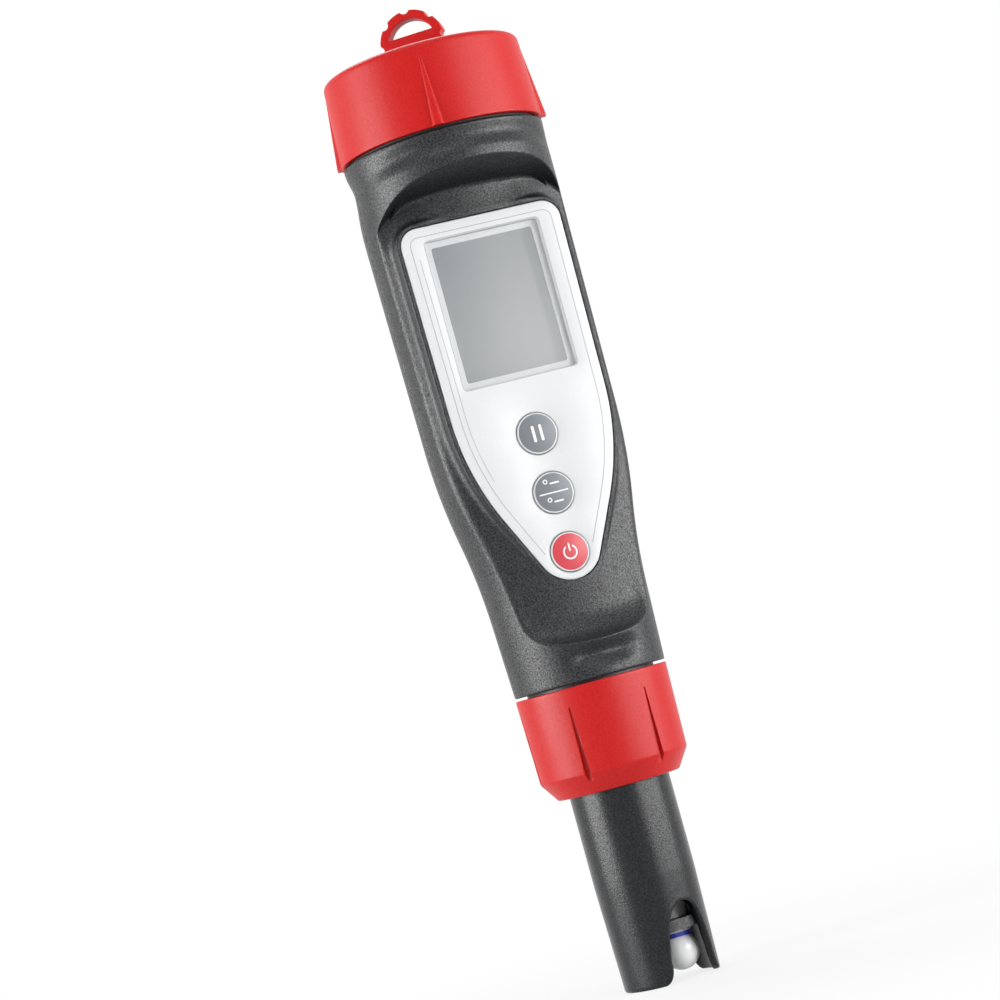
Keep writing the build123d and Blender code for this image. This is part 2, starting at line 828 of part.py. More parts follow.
def make_probe_sleeve():
    """The slotted guard tube with its flange inside the ring."""
    sleeve = turned([
        (sleeve_bore_radius, 0),
        (sleeve_tip_radius, 0),
        (sleeve_radius, sleeve_taper_height),
        (sleeve_radius, ring_bottom),
        (sleeve_seat_radius, ring_bottom),
        (sleeve_seat_radius, flange_bottom),
        (flange_radius, flange_bottom),
        (flange_radius, flange_top),
        (sleeve_bore_radius, flange_top),
    ])
    sleeve = fillet(sleeve.edges().group_by(Axis.Z)[0], sleeve_edge_radius)
    notch_half_width = sleeve_tip_radius * sin(radians(notch_half_angle))
    start = (-notch_half_width, 0)
    curve = Bezier(start, (0, 2 * notch_height), (notch_half_width, 0))
    below = Polyline((notch_half_width, 0), (notch_half_width, -1), (-notch_half_width, -1), start)
    notch = front_plate(make_face([curve, below]), sleeve_radius + 1, sleeve_bore_radius / 2)
    for side in (-1, 1):
        sleeve -= Rot(0, 0, prong_azimuth + side * notch_spread) * notch
    return sleeve


def make_end_disc():
    """The disc that closes the sleeve above the bulb."""
    high = disc_height + disc_thickness
    plate = disc(sleeve_bore_radius - disc_clearance, disc_height, high)
    plate -= disc(electrode_radius + disc_clearance, disc_height, high, x=bulb_offset)
    plate -= disc(junction_radius, disc_height, high, *polar(junction_offset, junction_azimuth))
    return plate - disc(sensor_radius, disc_height, high, *polar(sensor_offset, sensor_azimuth))


def make_probe_plug():
    """The upper end of the probe, with its grooves for the sealing rings."""
    plug = disc(plug_radius, flange_top, plug_top)
    plug += disc(sleeve_bore_radius - spigot_clearance, spigot_bottom, flange_top)
    for height in seal_heights:
        half = seal_radius + seat_clearance
        plug -= ring(nose_bore, nose_bore - 2 * half, height - half, height + half)
    return plug - pin_row(pin_radius, plug_top - pin_root, plug_top)


def make_probe_seals():
    """The two sealing rings round the plug."""
    major = nose_bore - seal_clearance - seal_radius
    return [Pos(0, 0, height) * Torus(major, seal_radius) for height in seal_heights]


def make_flange_gasket():
    """The flat gasket between the probe's flange and the nose."""
    return ring(flange_radius, plug_radius + seal_clearance, flange_top, flange_top + gasket_thickness)


def make_probe_pins():
    """Four round pins standing in the plug."""
    return pin_row(pin_radius, plug_top - pin_root, plug_top + pin_length)


def make_glass_bulb():
    """The thin glass bulb, open at its neck."""
    centre = bulb_rise + bulb_radius
    bulb = Pos(bulb_offset, 0, centre) * (Sphere(bulb_radius) - Sphere(bulb_radius - bulb_wall))
    return bulb & between(0, bulb_neck)


def make_joint_ring():
    """The blue glass joint between the bulb and the stem."""
    joint = ring(joint_radius, electrode_radius - electrode_wall, bulb_neck, bulb_neck + joint_height)
    return Pos(bulb_offset, 0, 0) * joint


def make_glass_stem():
    """The glass tube that the bulb is blown on."""
    tube = ring(electrode_radius, electrode_radius - electrode_wall, bulb_neck + joint_height, stem_top)
    return Pos(bulb_offset, 0, 0) * tube


def make_silver_wire():
    """The wire of the inner electrode."""
    return disc(wire_radius, bulb_rise + wire_rise, stem_top, x=bulb_offset)


def make_reference_junction():
    """The porous plug of the reference electrode."""
    low = disc_height - junction_proud
    return disc(junction_radius, low, low + junction_length, *polar(junction_offset, junction_azimuth))


def make_temperature_sensor():
    """The closed steel tube of the temperature sensor."""
    return disc(sensor_radius, sensor_rise, stem_top, *polar(sensor_offset, sensor_azimuth))


makers = {
    "front_shell": make_front_shell,
    "rear_shell": make_rear_shell,
    "front_panel": make_front_panel,
    "display_window": make_display_window,
    "lcd_glass": make_lcd_glass,
    "lcd_frame": make_lcd_frame,
    "zebra_strips": make_zebra_strips,
    "hold_key": lambda: make_key(key_heights[0]),
    "unit_key": lambda: make_key(key_heights[1]),
    "power_key": lambda: make_key(key_heights[2]),
    "dome_switches": make_dome_switches,
    "main_board": make_main_board,
    "board_screws": make_board_screws,
    "board_chips": make_board_chips,
    "battery_barrel": make_battery_barrel,
    "battery_cell_left": lambda: make_battery_cell(-1),
    "battery_cell_right": lambda: make_battery_cell(1),
    "negative_contact": lambda: make_lower_contact(-1),
    "positive_contact": lambda: make_lower_contact(1),
    "cap_seal": make_cap_seal,
    "battery_cap": make_battery_cap,
    "contact_plate": make_contact_plate,
    "contact_bridge": make_contact_bridge,
    "plate_clip": make_plate_clip,
    "nose": make_nose,
    "probe_socket": make_probe_socket,
    "socket_terminals": make_socket_terminals,
    "probe_ring": make_probe_ring,
    "probe_sleeve": make_probe_sleeve,
    "end_disc": make_end_disc,
    "probe_plug": make_probe_plug,
    "probe_seals": make_probe_seals,
    "flange_gasket": make_flange_gasket,
    "probe_pins": make_probe_pins,
    "glass_bulb": make_glass_bulb,
    "joint_ring": make_joint_ring,
    "glass_stem": make_glass_stem,
    "silver_wire": make_silver_wire,
    "reference_junction": make_reference_junction,
    "temperature_sensor": make_temperature_sensor,
}

os.makedirs("parts", exist_ok=True)
for name, make in makers.items():
    made = make()
    part = Compound(children=made) if isinstance(made, list) else made
    export_step(part, f"parts/{name}.step")
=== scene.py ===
import math

import bmesh
import bpy
import numpy as np
from mathutils import Matrix, Vector
from mathutils.geometry import delaunay_2d_cdt


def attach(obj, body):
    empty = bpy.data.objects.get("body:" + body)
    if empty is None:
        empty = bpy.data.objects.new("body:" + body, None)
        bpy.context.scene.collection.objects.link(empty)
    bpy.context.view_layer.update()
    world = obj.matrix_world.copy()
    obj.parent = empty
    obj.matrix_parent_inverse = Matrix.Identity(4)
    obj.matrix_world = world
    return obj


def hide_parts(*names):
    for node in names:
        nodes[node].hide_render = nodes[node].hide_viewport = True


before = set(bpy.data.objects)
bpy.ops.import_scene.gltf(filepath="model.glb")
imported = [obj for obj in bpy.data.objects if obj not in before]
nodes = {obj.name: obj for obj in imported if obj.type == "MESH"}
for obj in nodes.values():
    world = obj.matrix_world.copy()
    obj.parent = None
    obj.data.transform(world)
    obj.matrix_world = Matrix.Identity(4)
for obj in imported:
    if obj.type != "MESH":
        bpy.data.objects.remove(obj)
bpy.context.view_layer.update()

# Camera. A long lens looks at the tester from a little to the left of its front, a third of
# the way up, and is rolled so that the upright tester leans with its cap to the upper left.
camera_reach, camera_height = 0.567, 0.0582
camera_azimuth = math.radians(-16.5)
camera_yaw = math.radians(0.745)
camera_pitch = math.radians(3.76)
camera_roll = math.radians(15.4)
heading = Vector((-math.sin(camera_azimuth + camera_yaw), math.cos(camera_azimuth + camera_yaw), 0))
sight = heading * math.cos(camera_pitch) + Vector((0, 0, math.sin(camera_pitch)))
level = sight.cross(Vector((0, 0, 1))).normalized()
above = level.cross(sight)
across = level * math.cos(camera_roll) - above * math.sin(camera_roll)
upward = above * math.cos(camera_roll) + level * math.sin(camera_roll)
camera = bpy.data.objects.new("camera", bpy.data.cameras.new("camera"))
camera.matrix_world = Matrix((across, upward, -sight)).transposed().to_4x4()
camera.location = (camera_reach * math.sin(camera_azimuth), -camera_reach * math.cos(camera_azimuth),
                   camera_height)
camera.data.sensor_width = 36
camera.data.lens = 108
bpy.context.scene.collection.objects.link(camera)
bpy.context.scene.camera = camera
bpy.context.scene.view_settings.view_transform = "Standard"


# Floor and light. The tester stands on a wide pale floor under soft studio boxes. Far from
# the tester the floor only glows, so that it meets the white backdrop with no edge.
class Wire:
    """A socket of a node tree, so that a sum written in Python adds Math nodes to the tree."""

    def __init__(self, tree, socket=None):
        """A wire of a tree that leads from a socket, or from none when it only adds nodes."""
        self.tree = tree
        self.socket = socket

    def node(self, kind, settings=None, inputs=None, output=0):
        """Add a node, set its settings, then its inputs by name or number, and return one output."""
        new = self.tree.nodes.new(kind)
        for name, value in (settings or {}).items():
            setattr(new, name, value)
        for name, value in (inputs or {}).items():
            if isinstance(value, Wire):
                self.tree.links.new(value.socket, new.inputs[name])
            else:
                new.inputs[name].default_value = value
        return Wire(self.tree, new.outputs[output])

    def math(self, operation, first, second=0.0):
        """Add a Math node on two values."""
        return self.node("ShaderNodeMath", {"operation": operation}, {0: first, 1: second})

    def __add__(self, other):
        return self.math("ADD", self, other)

    def __sub__(self, other):
        return self.math("SUBTRACT", self, other)

    def __rsub__(self, other):
        return self.math("SUBTRACT", other, self)

    def __mul__(self, other):
        return self.math("MULTIPLY", self, other)

    __radd__ = __add__
    __rmul__ = __mul__


def stage_material(name):
    """A material whose node tree starts empty, with a wire of its tree and its output node."""
    material = bpy.data.materials.new(name)
    material.use_nodes = True
    material.node_tree.nodes.clear()
    return material, Wire(material.node_tree), material.node_tree.nodes.new("ShaderNodeOutputMaterial")


def seen_directly(wire):
    """One for a ray from the camera, a reflection or clear glass, and zero for light on its way to
    something else."""
    path = wire.tree.nodes.new("ShaderNodeLightPath")
    camera_ray, glossy_ray, clear_ray = (Wire(wire.tree, path.outputs[f"Is {kind} Ray"])
                                         for kind in ("Camera", "Glossy", "Transmission"))
    return wire.math("MINIMUM", camera_ray + glossy_ray + clear_ray, 1.0)


floor_reach = 4.0
shadow_reach, glow_reach, least_glow = 0.04, 0.16, 0.8
floor_mesh = bpy.data.meshes.new("floor")
floor_mesh.from_pydata([(-floor_reach, -floor_reach, 0), (floor_reach, -floor_reach, 0),
                        (floor_reach, floor_reach, 0), (-floor_reach, floor_reach, 0)], [], [(0, 1, 2, 3)])
floor = bpy.data.objects.new("floor", floor_mesh)
bpy.context.scene.collection.objects.link(floor)
floor_material, wire, output = stage_material("floor")
floor_mesh.materials.append(floor_material)
place = wire.node("ShaderNodeTexCoord", output="Object")
distance = wire.node("ShaderNodeVectorMath", {"operation": "LENGTH"}, {0: place}, "Value")
far = wire.node("ShaderNodeMapRange", {"interpolation_type": "SMOOTHSTEP"},
                {"Value": distance, "From Min": shadow_reach, "From Max": glow_reach, "To Min": least_glow})
lit = wire.node("ShaderNodeBsdfDiffuse", inputs={"Color": (0.85, 0.85, 0.85, 1)}, output="BSDF")
glow = wire.node("ShaderNodeEmission", inputs={"Color": (1, 1, 1, 1), "Strength": 1.0}, output="Emission")
mix = wire.node("ShaderNodeMixShader", inputs={0: seen_directly(wire) * far, 1: lit, 2: glow},
                output="Shader")
wire.tree.links.new(mix.socket, output.inputs["Surface"])

world = bpy.data.worlds.new("studio")
bpy.context.scene.world = world
world.use_nodes = True
world.node_tree.nodes.clear()
wire = Wire(world.node_tree)
fill_light = 0.12
strength = fill_light + (1 - fill_light) * seen_directly(wire)
backdrop = wire.node("ShaderNodeBackground", inputs={"Color": (1, 1, 1, 1), "Strength": strength},
                     output="Background")
output = world.node_tree.nodes.new("ShaderNodeOutputWorld")
wire.tree.links.new(backdrop.socket, output.inputs["Surface"])


def softbox(name, right, up, front, size, power):
    """An area lamp placed in the camera's own directions from the middle of the tester, facing it."""
    middle = Vector((0, 0, 0.1))
    lamp = bpy.data.objects.new(name, bpy.data.lights.new(name, "AREA"))
    lamp.data.shape = "RECTANGLE"
    lamp.data.size, lamp.data.size_y = size
    lamp.data.energy = power
    lamp.location = middle + across * right + upward * up - sight * front
    lamp.rotation_euler = (middle - lamp.location).to_track_quat("-Z", "Y").to_euler()
    bpy.context.scene.collection.objects.link(lamp)


softbox("right_box", 0.81, 0.09, 0.38, (0.98, 0.9), 28.5)
softbox("left_box", -0.86, -0.38, 0.27, (0.7, 0.9), 30.0)
softbox("upper_box", -0.2, 0.85, 0.4, (0.8, 0.4), 2.0)
softbox("crown_box", -0.35, 0.75, -0.5, (0.7, 0.35), 5.0)


# Front half of the body. A moulded ABS half shell: a drafted collar, a flared grip, and a front
# cut back to a crowned face with a raised rim round the panel's pocket, whose seat is open behind
# the display and the keys. It meets the rear half along a fine seam on both flanks.
def finish(name):
    """A Principled material, a wire of its tree, the place on the object in metres, and its shader."""
    material = bpy.data.materials.new(name)
    material.use_nodes = True
    wire = Wire(material.node_tree)
    shader = material.node_tree.nodes["Principled BSDF"]
    return material, wire, wire.node("ShaderNodeTexCoord", output="Object"), shader


def connect(wire, shader, **values):
    """Link or set the shader's inputs, named in lower case with underscores."""
    for name, value in values.items():
        socket = shader.inputs[name.replace("_", " ").title().replace("Ior", "IOR")]
        if isinstance(value, Wire):
            wire.tree.links.new(value.socket, socket)
        else:
            socket.default_value = value


def dress(material, *names):
    """Give a material to CAD nodes that stay as they are."""
    for name in names:
        for slot in nodes[name].material_slots:
            slot.material = material


def noise(wire, place, scale, detail=2.0):
    """Cloudy noise over a place, in lumps of about one over the scale in metres."""
    return wire.node("ShaderNodeTexNoise", {}, {"Vector": place, "Scale": scale, "Detail": detail})


def blend(wire, share, first, second):
    """A colour that goes from the first to the second as the share goes from zero to one."""
    return wire.node("ShaderNodeMix", {"data_type": "RGBA"},
                     {"Factor": share, 6: (*first, 1), 7: (*second, 1)}, 2)


def plastic(name, shade, rough, grain=0.000001, speckle=0.03, shine=0.5, sparkle=0.0, period=0.0003):
    """A moulded plastic: a spark grain of the given height and period in metres, whose tips are
    lighter than its pits by the share speckle and glossier by sparkle, and a slow change of gloss."""
    material, wire, place, shader = finish(name)
    fine, broad = noise(wire, place, 1 / period), noise(wire, place, 90.0)
    bump = wire.node("ShaderNodeBump", {}, {"Strength": 1.0, "Distance": grain, "Height": fine})
    tip = wire.node("ShaderNodeMapRange", {}, {"Value": fine, "From Min": 0.3, "From Max": 0.7})
    dark = [channel * (1 - speckle) for channel in shade]
    light = [channel * (1 + speckle) for channel in shade]
    colour = blend(wire, 0.8 * tip + 0.2 * broad, dark, light)
    connect(wire, shader, base_color=colour, roughness=rough - 0.06 + 0.12 * broad, normal=bump,
            specular_ior_level=shine, coat_weight=sparkle * tip, coat_roughness=rough)
    return material


black = plastic("black_abs", (0.004, 0.0046, 0.006), 0.46, 0.00005, 0.8, 0.22, 1.0)
body_foot, body_head = 58.3, 163.4
body_wall = 2.0
collar_radius, collar_height = 14.6, 14.7
collar_draft, flare_lean, grip_draft = math.radians(2.2), math.radians(10.3), math.radians(0.8)
flare_arc = 115.0
cove_depth = 0.8
waist_depth, waist_height = 0.75, 158.6
dimple_depth, dimple_height = 1.6, 62.6
dimple_half_width, dimple_half_height = 6.4, 2.0
seam_radius = 0.3
seam_half_gap = 0.04
crown_radius = 40.0
crown_centre = 30.1
recess_reach = 22.0
recess_draft = math.radians(18.0)
recess_slope = math.tan(recess_draft)
recess_head_radius, recess_foot_radius = 16.0, 10.0
recess_head_x, recess_head_z = 11.0, 141.5
recess_foot_x, recess_foot_z = 9.4, 72.68
recess_lean = math.atan2(10.0, 35.95)
panel_depth = 9.6
panel_tip, panel_top = 76.9, 147.7
panel_tip_radius, panel_flank_radius, panel_corner_radius = 6.25, 49.0, 3.5
panel_top_half, panel_shoulder_half = 15.95, 15.3
panel_flank_lean = math.radians(26.0)
rim_depth = 9.5
rim_inner, rim_outer = 0.15, 0.9
seat_front, seat_back = 8.38, 6.8
window_middle = 130.35
window_width, window_height = 22.5, 28.7
display_border = 1.25
key_heights = {"hold_key": 105.0, "unit_key": 93.55, "power_key": 82.1}
key_radii = {"hold_key": 3.9, "unit_key": 3.9, "power_key": 3.7}
key_gap = 0.1


def smooth_union(first, second, reach):
    """The larger of two fields, rounded with a quarter of the squared overlap where they are within
    reach."""
    overlap = np.maximum(reach - np.abs(first - second), 0)
    return np.maximum(first, second) + overlap**2 / (4 * reach)


def smooth_cut(first, second, reach):
    """The smaller of two fields, rounded in the same way."""
    return -smooth_union(-first, -second, reach)


def ramp(value, start, end):
    """Zero before start, one after end, and three squares less two cubes of the share between."""
    share = np.clip((value - start) / (end - start), 0, 1)
    return share * share * (3 - 2 * share)


def body_radius(azimuth, z):
    """Radius of the uncut body: collar and grip are cones, and two arcs of one radius, first hollow
    and then round, carry the flare between them. Under the cap a shallow cove hangs across the front
    and a soft waist runs round the flanks and back, and a dimple lies in the front of the collar."""
    flare_foot = body_foot + collar_height
    foot_radius = collar_radius + collar_height * math.tan(collar_draft)
    flare_middle = flare_foot + flare_arc * (math.sin(flare_lean) - math.sin(collar_draft))
    middle_radius = foot_radius + flare_arc * (math.cos(collar_draft) - math.cos(flare_lean))
    flare_head = flare_middle + flare_arc * (math.sin(flare_lean) - math.sin(grip_draft))
    head_radius = middle_radius + flare_arc * (math.cos(grip_draft) - math.cos(flare_lean))
    hollow = np.clip((z - flare_foot) / flare_arc + math.sin(collar_draft), -1, math.sin(flare_lean))
    crest = np.clip(math.sin(flare_lean) - (z - flare_middle) / flare_arc, math.sin(grip_draft), 1)
    hollow, crest = np.arcsin(hollow), np.arcsin(crest)
    radius = np.where(z < flare_foot, collar_radius + (z - body_foot) * math.tan(collar_draft),
                      foot_radius + flare_arc * (math.cos(collar_draft) - np.cos(hollow)))
    radius = np.where(z > flare_middle,
                      middle_radius + flare_arc * (np.cos(crest) - math.cos(flare_lean)), radius)
    radius = np.where(z > flare_head, head_radius + (z - flare_head) * math.tan(grip_draft), radius)
    front = 1 - ramp(np.abs(azimuth), math.radians(38), math.radians(72))
    dropped = z + 1.3 * (azimuth / math.radians(60)) ** 2
    cove = ramp(dropped, 158.3, 161.1) * (1 - 0.6 * ramp(dropped, 161.2, 163.6))
    radius = radius - cove_depth * front * cove
    flank = ramp(np.abs(azimuth), math.radians(58), math.radians(108))
    off = np.where(z < waist_height, (waist_height - z) / 5.2, (z - waist_height) / 2.6)
    radius = radius - waist_depth * flank * np.exp(-off**2)
    dimple = (azimuth * 15.0 / dimple_half_width) ** 4 + ((z - dimple_height) / dimple_half_height) ** 2
    return radius - dimple_depth * np.exp(-dimple * 1.1)


def recess_outline(x, z):
    """Signed distance in the front view to the outline of the recess, less than zero inside. It is a
    rounded box at the head, and at the foot the space between a level line and two slanting flanks,
    rounded about a centre."""
    head = np.stack([np.abs(x) - recess_head_x, z - recess_head_z])
    head_distance = np.hypot(*np.maximum(head, 0)) + np.minimum(head.max(0), 0) - recess_head_radius
    side, level = np.abs(x) - recess_foot_x, recess_foot_z - z
    share = math.sin(recess_lean)
    flank = side * math.cos(recess_lean) + level * share
    corner = (level > share * flank) & (flank > share * level)
    foot_distance = np.where(corner, np.hypot(side, level), np.maximum(level, flank)) - recess_foot_radius
    return np.maximum(head_distance, foot_distance)


def recess_wall(x, depth, z):
    """The same distance to the drafted wall, which opens by its slope with the depth in front of the
    pen's axis."""
    return recess_outline(x, z) + (recess_reach - depth) * recess_slope


def shield_corners():
    """Corners of the panel's shield outline, clockwise from the middle of its top, and the radius that
    rounds each."""
    vertex = panel_tip - panel_tip_radius * (1 / math.sin(panel_flank_lean) - 1)
    shoulder = vertex + panel_shoulder_half / math.tan(panel_flank_lean)
    right = [(panel_top_half, panel_top), (panel_shoulder_half, shoulder)]
    left = [(-x, z) for x, z in right[::-1]]
    radii = [panel_corner_radius, panel_flank_radius]
    points = np.array([(0.0, panel_top), *right, (0.0, vertex), *left])
    return points, [0.0, *radii, panel_tip_radius, *radii[::-1]]


def rounded_outline(points, radii, count):
    """Points along a closed polygon whose corners are rounded by arcs, at even steps of its length."""
    run = []
    for index, radius in enumerate(radii):
        before, corner, after = points[index - 1], points[index], points[(index + 1) % len(points)]
        if radius == 0:
            run.append(corner[None])
            continue
        into = (corner - before) / np.linalg.norm(corner - before)
        out = (after - corner) / np.linalg.norm(after - corner)
        turn = math.acos(np.clip(into @ out, -1, 1))
        start = corner - into * radius * math.tan(turn / 2)
        side = out - into * (into @ out)
        centre = start + side / np.linalg.norm(side) * radius
        angle = np.linspace(0, turn, 65)[:, None]
        across = side / np.linalg.norm(side) * radius
        run.append(centre - across * np.cos(angle) + into * radius * np.sin(angle))
    run = np.concatenate(run)
    run = np.concatenate([run, run[:1]])
    length = np.concatenate([[0], np.cumsum(np.linalg.norm(np.diff(run, axis=0), axis=1))])
    even = np.linspace(0, length[-1], count, endpoint=False)
    return np.stack([np.interp(even, length, run[:, 0]), np.interp(even, length, run[:, 1])], 1)


shield = rounded_outline(*shield_corners(), 560)


def side_normals(loop):
    """Unit normals of a closed run of points, to the right of the way it runs."""
    along = np.roll(loop, -1, 0) - np.roll(loop, 1, 0)
    return np.stack([along[:, 1], -along[:, 0]], 1) / np.linalg.norm(along, axis=1)[:, None]


net_step, net_foot = 0.2, 56


def shield_distances():
    """Signed distance to the panel's outline over a fine net of places in the right half of the front
    view: the way to the nearest of its points, measured along that point's own normal."""
    across, up = np.arange(0, 26, net_step), np.arange(net_foot, 166, net_step)
    net = np.stack(np.meshgrid(across, up, indexing="ij"), 2).reshape(-1, 2)
    outward = -side_normals(shield)
    found = np.empty(len(net))
    for low in range(0, len(net), 6000):
        gap = net[low:low + 6000, None] - shield[None]
        nearest = np.argmin(gap[:, :, 0] ** 2 + gap[:, :, 1] ** 2, 1)
        found[low:low + 6000] = np.sum(gap[np.arange(len(nearest)), nearest] * outward[nearest], 1)
    return found.reshape(len(across), len(up))


shield_net = shield_distances()


def shield_distance(x, z):
    """Signed distance to the panel's outline, read from the net by weighing its four nearest places."""
    column = np.clip(np.abs(x) / net_step, 0, shield_net.shape[0] - 1.001)
    row = np.clip((z - net_foot) / net_step, 0, shield_net.shape[1] - 1.001)
    left, low = column.astype(int), row.astype(int)
    right_share, high_share = column - left, row - low
    near = shield_net[left, low] * (1 - high_share) + shield_net[left, low + 1] * high_share
    far = shield_net[left + 1, low] * (1 - high_share) + shield_net[left + 1, low + 1] * high_share
    return near * (1 - right_share) + far * right_share


def body_field(x, depth, z):
    """Depth inside the body: within its outer form, and behind the crowned face or outside the
    recess's drafted outline, with each meeting rounded, widest at the foot. Above the panel the face
    swells to an apron level with the raised rim that carries the panel."""
    outer = body_radius(np.arctan2(x, depth), z) - np.hypot(x, depth)
    crown = crown_radius - np.hypot(x, depth + crown_centre)
    wall = recess_wall(x, depth, z) * math.cos(recess_draft)
    off_panel = smooth_union(shield_distance(x, z) - rim_outer, 0.0, 0.6)
    above_panel = ramp(z, 141, 149) * (1 - ramp(np.abs(x), 9, 20))
    apron = rim_depth - depth - 0.25 * off_panel - 4.5 * (1 - above_panel)
    fillet = 5.2 - 4.4 * ramp(z, 100, 125)
    crease = 0.35 + 0.6 * ramp(-wall, 0.3, 4.0)
    face = smooth_union(smooth_union(crown, apron, 1.0), wall, fillet)
    body = smooth_cut(outer, face, crease)
    rim = smooth_cut(rim_depth - depth, rim_outer - shield_distance(x, z), 0.3)
    return smooth_union(body, rim, 0.1 + 1.2 * ramp(np.abs(x), 5, 13))


def body_surface(angle, z):
    """X and depth where a ray from the crowned face's own axis, at an angle from straight ahead,
    leaves the body, found by halving a span that holds the field's zero."""
    low, high = np.full(np.shape(z), 26.0), np.full(np.shape(z), 55.0)
    for _ in range(26):
        middle = (low + high) / 2
        inside = body_field(middle * np.sin(angle), middle * np.cos(angle) - crown_centre, z) > 0
        low, high = np.where(inside, middle, low), np.where(inside, high, middle)
    return low * np.sin(angle), low * np.cos(angle) - crown_centre


def last_share(test, low, high):
    """The share along each ray at which a test that holds at low stops holding, by halving."""
    for _ in range(22):
        middle = (low + high) / 2
        holds = test(middle)
        low, high = np.where(holds, middle, low), np.where(holds, high, middle)
    return (low + high) / 2


def boundary_walk(half_width, low, high, step):
    """Points round a rectangle from the middle of its top, at even steps of about the given length."""
    corners = np.array([(0, high), (half_width, high), (half_width, low), (-half_width, low),
                        (-half_width, high), (0, high)], float)
    sides = []
    for start, end in zip(corners[:-1], corners[1:]):
        share = np.arange(max(2, round(np.linalg.norm(end - start) / step)))[:, None]
        sides.append(start + (end - start) * share / len(share))
    return np.concatenate(sides)


def front_shell_rows():
    """Skin of the front half as rings of points. Rays spread in the plane of azimuth and height from
    the middle of the panel to the edge of the shell, and each ring is one share of all rays: the
    pocket's wall, the rim, the face, the recess's wall, the outer skin, the seam's rounding, and back
    along the inside to the back of the panel's seat."""
    half_width = 26.7
    ends = boundary_walk(half_width, body_foot, body_head, 0.62)
    middle = np.array([0.0, 117.0])
    length = np.linalg.norm(ends - middle, axis=1)

    def place(share):
        """Angle from straight ahead and height at a share of each ray."""
        spot = middle + (ends - middle) * share[:, None]
        z = spot[:, 1]
        edge = np.arctan2(body_radius(math.pi / 2, z), crown_centre + seam_half_gap)
        return spot[:, 0] / half_width * edge, z

    def ring(share, drop=0.0):
        """Points of the body's surface at a share of each ray, sunk towards the pen's axis."""
        angle, z = place(share)
        x, depth = body_surface(angle, z)
        keep = 1 - drop / np.hypot(x, depth)
        return np.stack([x * keep, -depth * keep, z], 1)

    def near_panel(grow):
        """The share at which each ray crosses the panel's outline grown by a distance."""
        def inside(share):
            angle, z = place(share)
            return shield_distance(body_surface(angle, z)[0], z) < grow
        return last_share(inside, np.zeros(len(ends)), np.ones(len(ends)))

    def in_recess(share):
        """Whether the outer form lies in the recess and in front of the face."""
        angle, z = place(share)
        reach = np.sqrt(body_radius(angle * 2.2, z) ** 2 - (crown_centre * np.sin(angle)) ** 2)
        reach = reach + crown_centre * np.cos(angle)
        x, depth = reach * np.sin(angle), reach * np.cos(angle) - crown_centre
        return (recess_wall(x, depth, z) < 0) & (reach > crown_radius)

    def on_face(share):
        """Whether the surface lies well inside the recess's wall."""
        angle, z = place(share)
        x, depth = body_surface(angle, z)
        return recess_wall(x, depth, z) < -0.3

    grown = [near_panel(grow) for grow in (rim_inner, 0.3, 0.5, 0.7, 0.8, 0.88, 0.96, 1.1, 1.4)]
    brink = last_share(in_recess, grown[-1], np.ones(len(ends)))
    foot = np.minimum(last_share(on_face, grown[-1], brink), brink - 0.012)
    edge = 1 - seam_radius / length
    eased = (1 - np.cos(np.linspace(0, math.pi, 19))) / 2
    rows = [ring(share) for share in grown]
    rows[0][:, 1] += 0.12
    rows[1:1] = [ring(grown[0] * 0.6 + grown[1] * 0.4)]
    seat = [np.insert(rows[0][:, [0, 2]], 1, -depth, 1) for depth in (seat_front, seat_back)]
    rows += [ring(grown[-1] + (foot - grown[-1]) * share) for share in eased[1:]]
    rows += [ring(foot + (brink - foot) * share) for share in eased[1:-1]]
    rows += [ring(brink + (edge - brink) * share) for share in np.linspace(0, 1, 34) ** 1.6]
    for turn in np.radians([30, 60, 90]):
        share = 1 - seam_radius * (1 - math.sin(turn)) / length
        rows.append(ring(share, seam_radius * (1 - math.cos(turn))))
    behind = [np.ones(len(ends)), (edge + brink) / 2, brink, (foot + brink) / 2, foot,
              (foot + grown[-1]) / 2, grown[-1]]
    return seat[:1] + rows + [ring(share, body_wall) for share in behind] + seat[1:]


def piece_from_faces(name, points, round_faces, flat_faces, material):
    """An object with its points in millimetres, some faces shaded round and others flat. All are
    turned outwards, and edges sharper than 40 degrees stay crisp."""
    mesh = bpy.data.meshes.new(name)
    mesh.from_pydata((np.asarray(points) / 1000).tolist(), [], [*round_faces, *flat_faces])
    mesh.polygons.foreach_set("use_smooth", [True] * len(round_faces) + [False] * len(flat_faces))
    build = bmesh.new()
    build.from_mesh(mesh)
    bmesh.ops.recalc_face_normals(build, faces=build.faces)
    build.to_mesh(mesh)
    build.free()
    mesh.set_sharp_from_angle(angle=math.radians(40))
    mesh.materials.append(material)
    piece = bpy.data.objects.new(name, mesh)
    bpy.context.scene.collection.objects.link(piece)
    return piece


def quads(index):
    """Quads between rows of point numbers, each row a closed ring."""
    beside = np.roll(index, -1, 1)
    return np.stack([index[:-1], beside[:-1], beside[1:], index[1:]], 2).reshape(-1, 4).tolist()


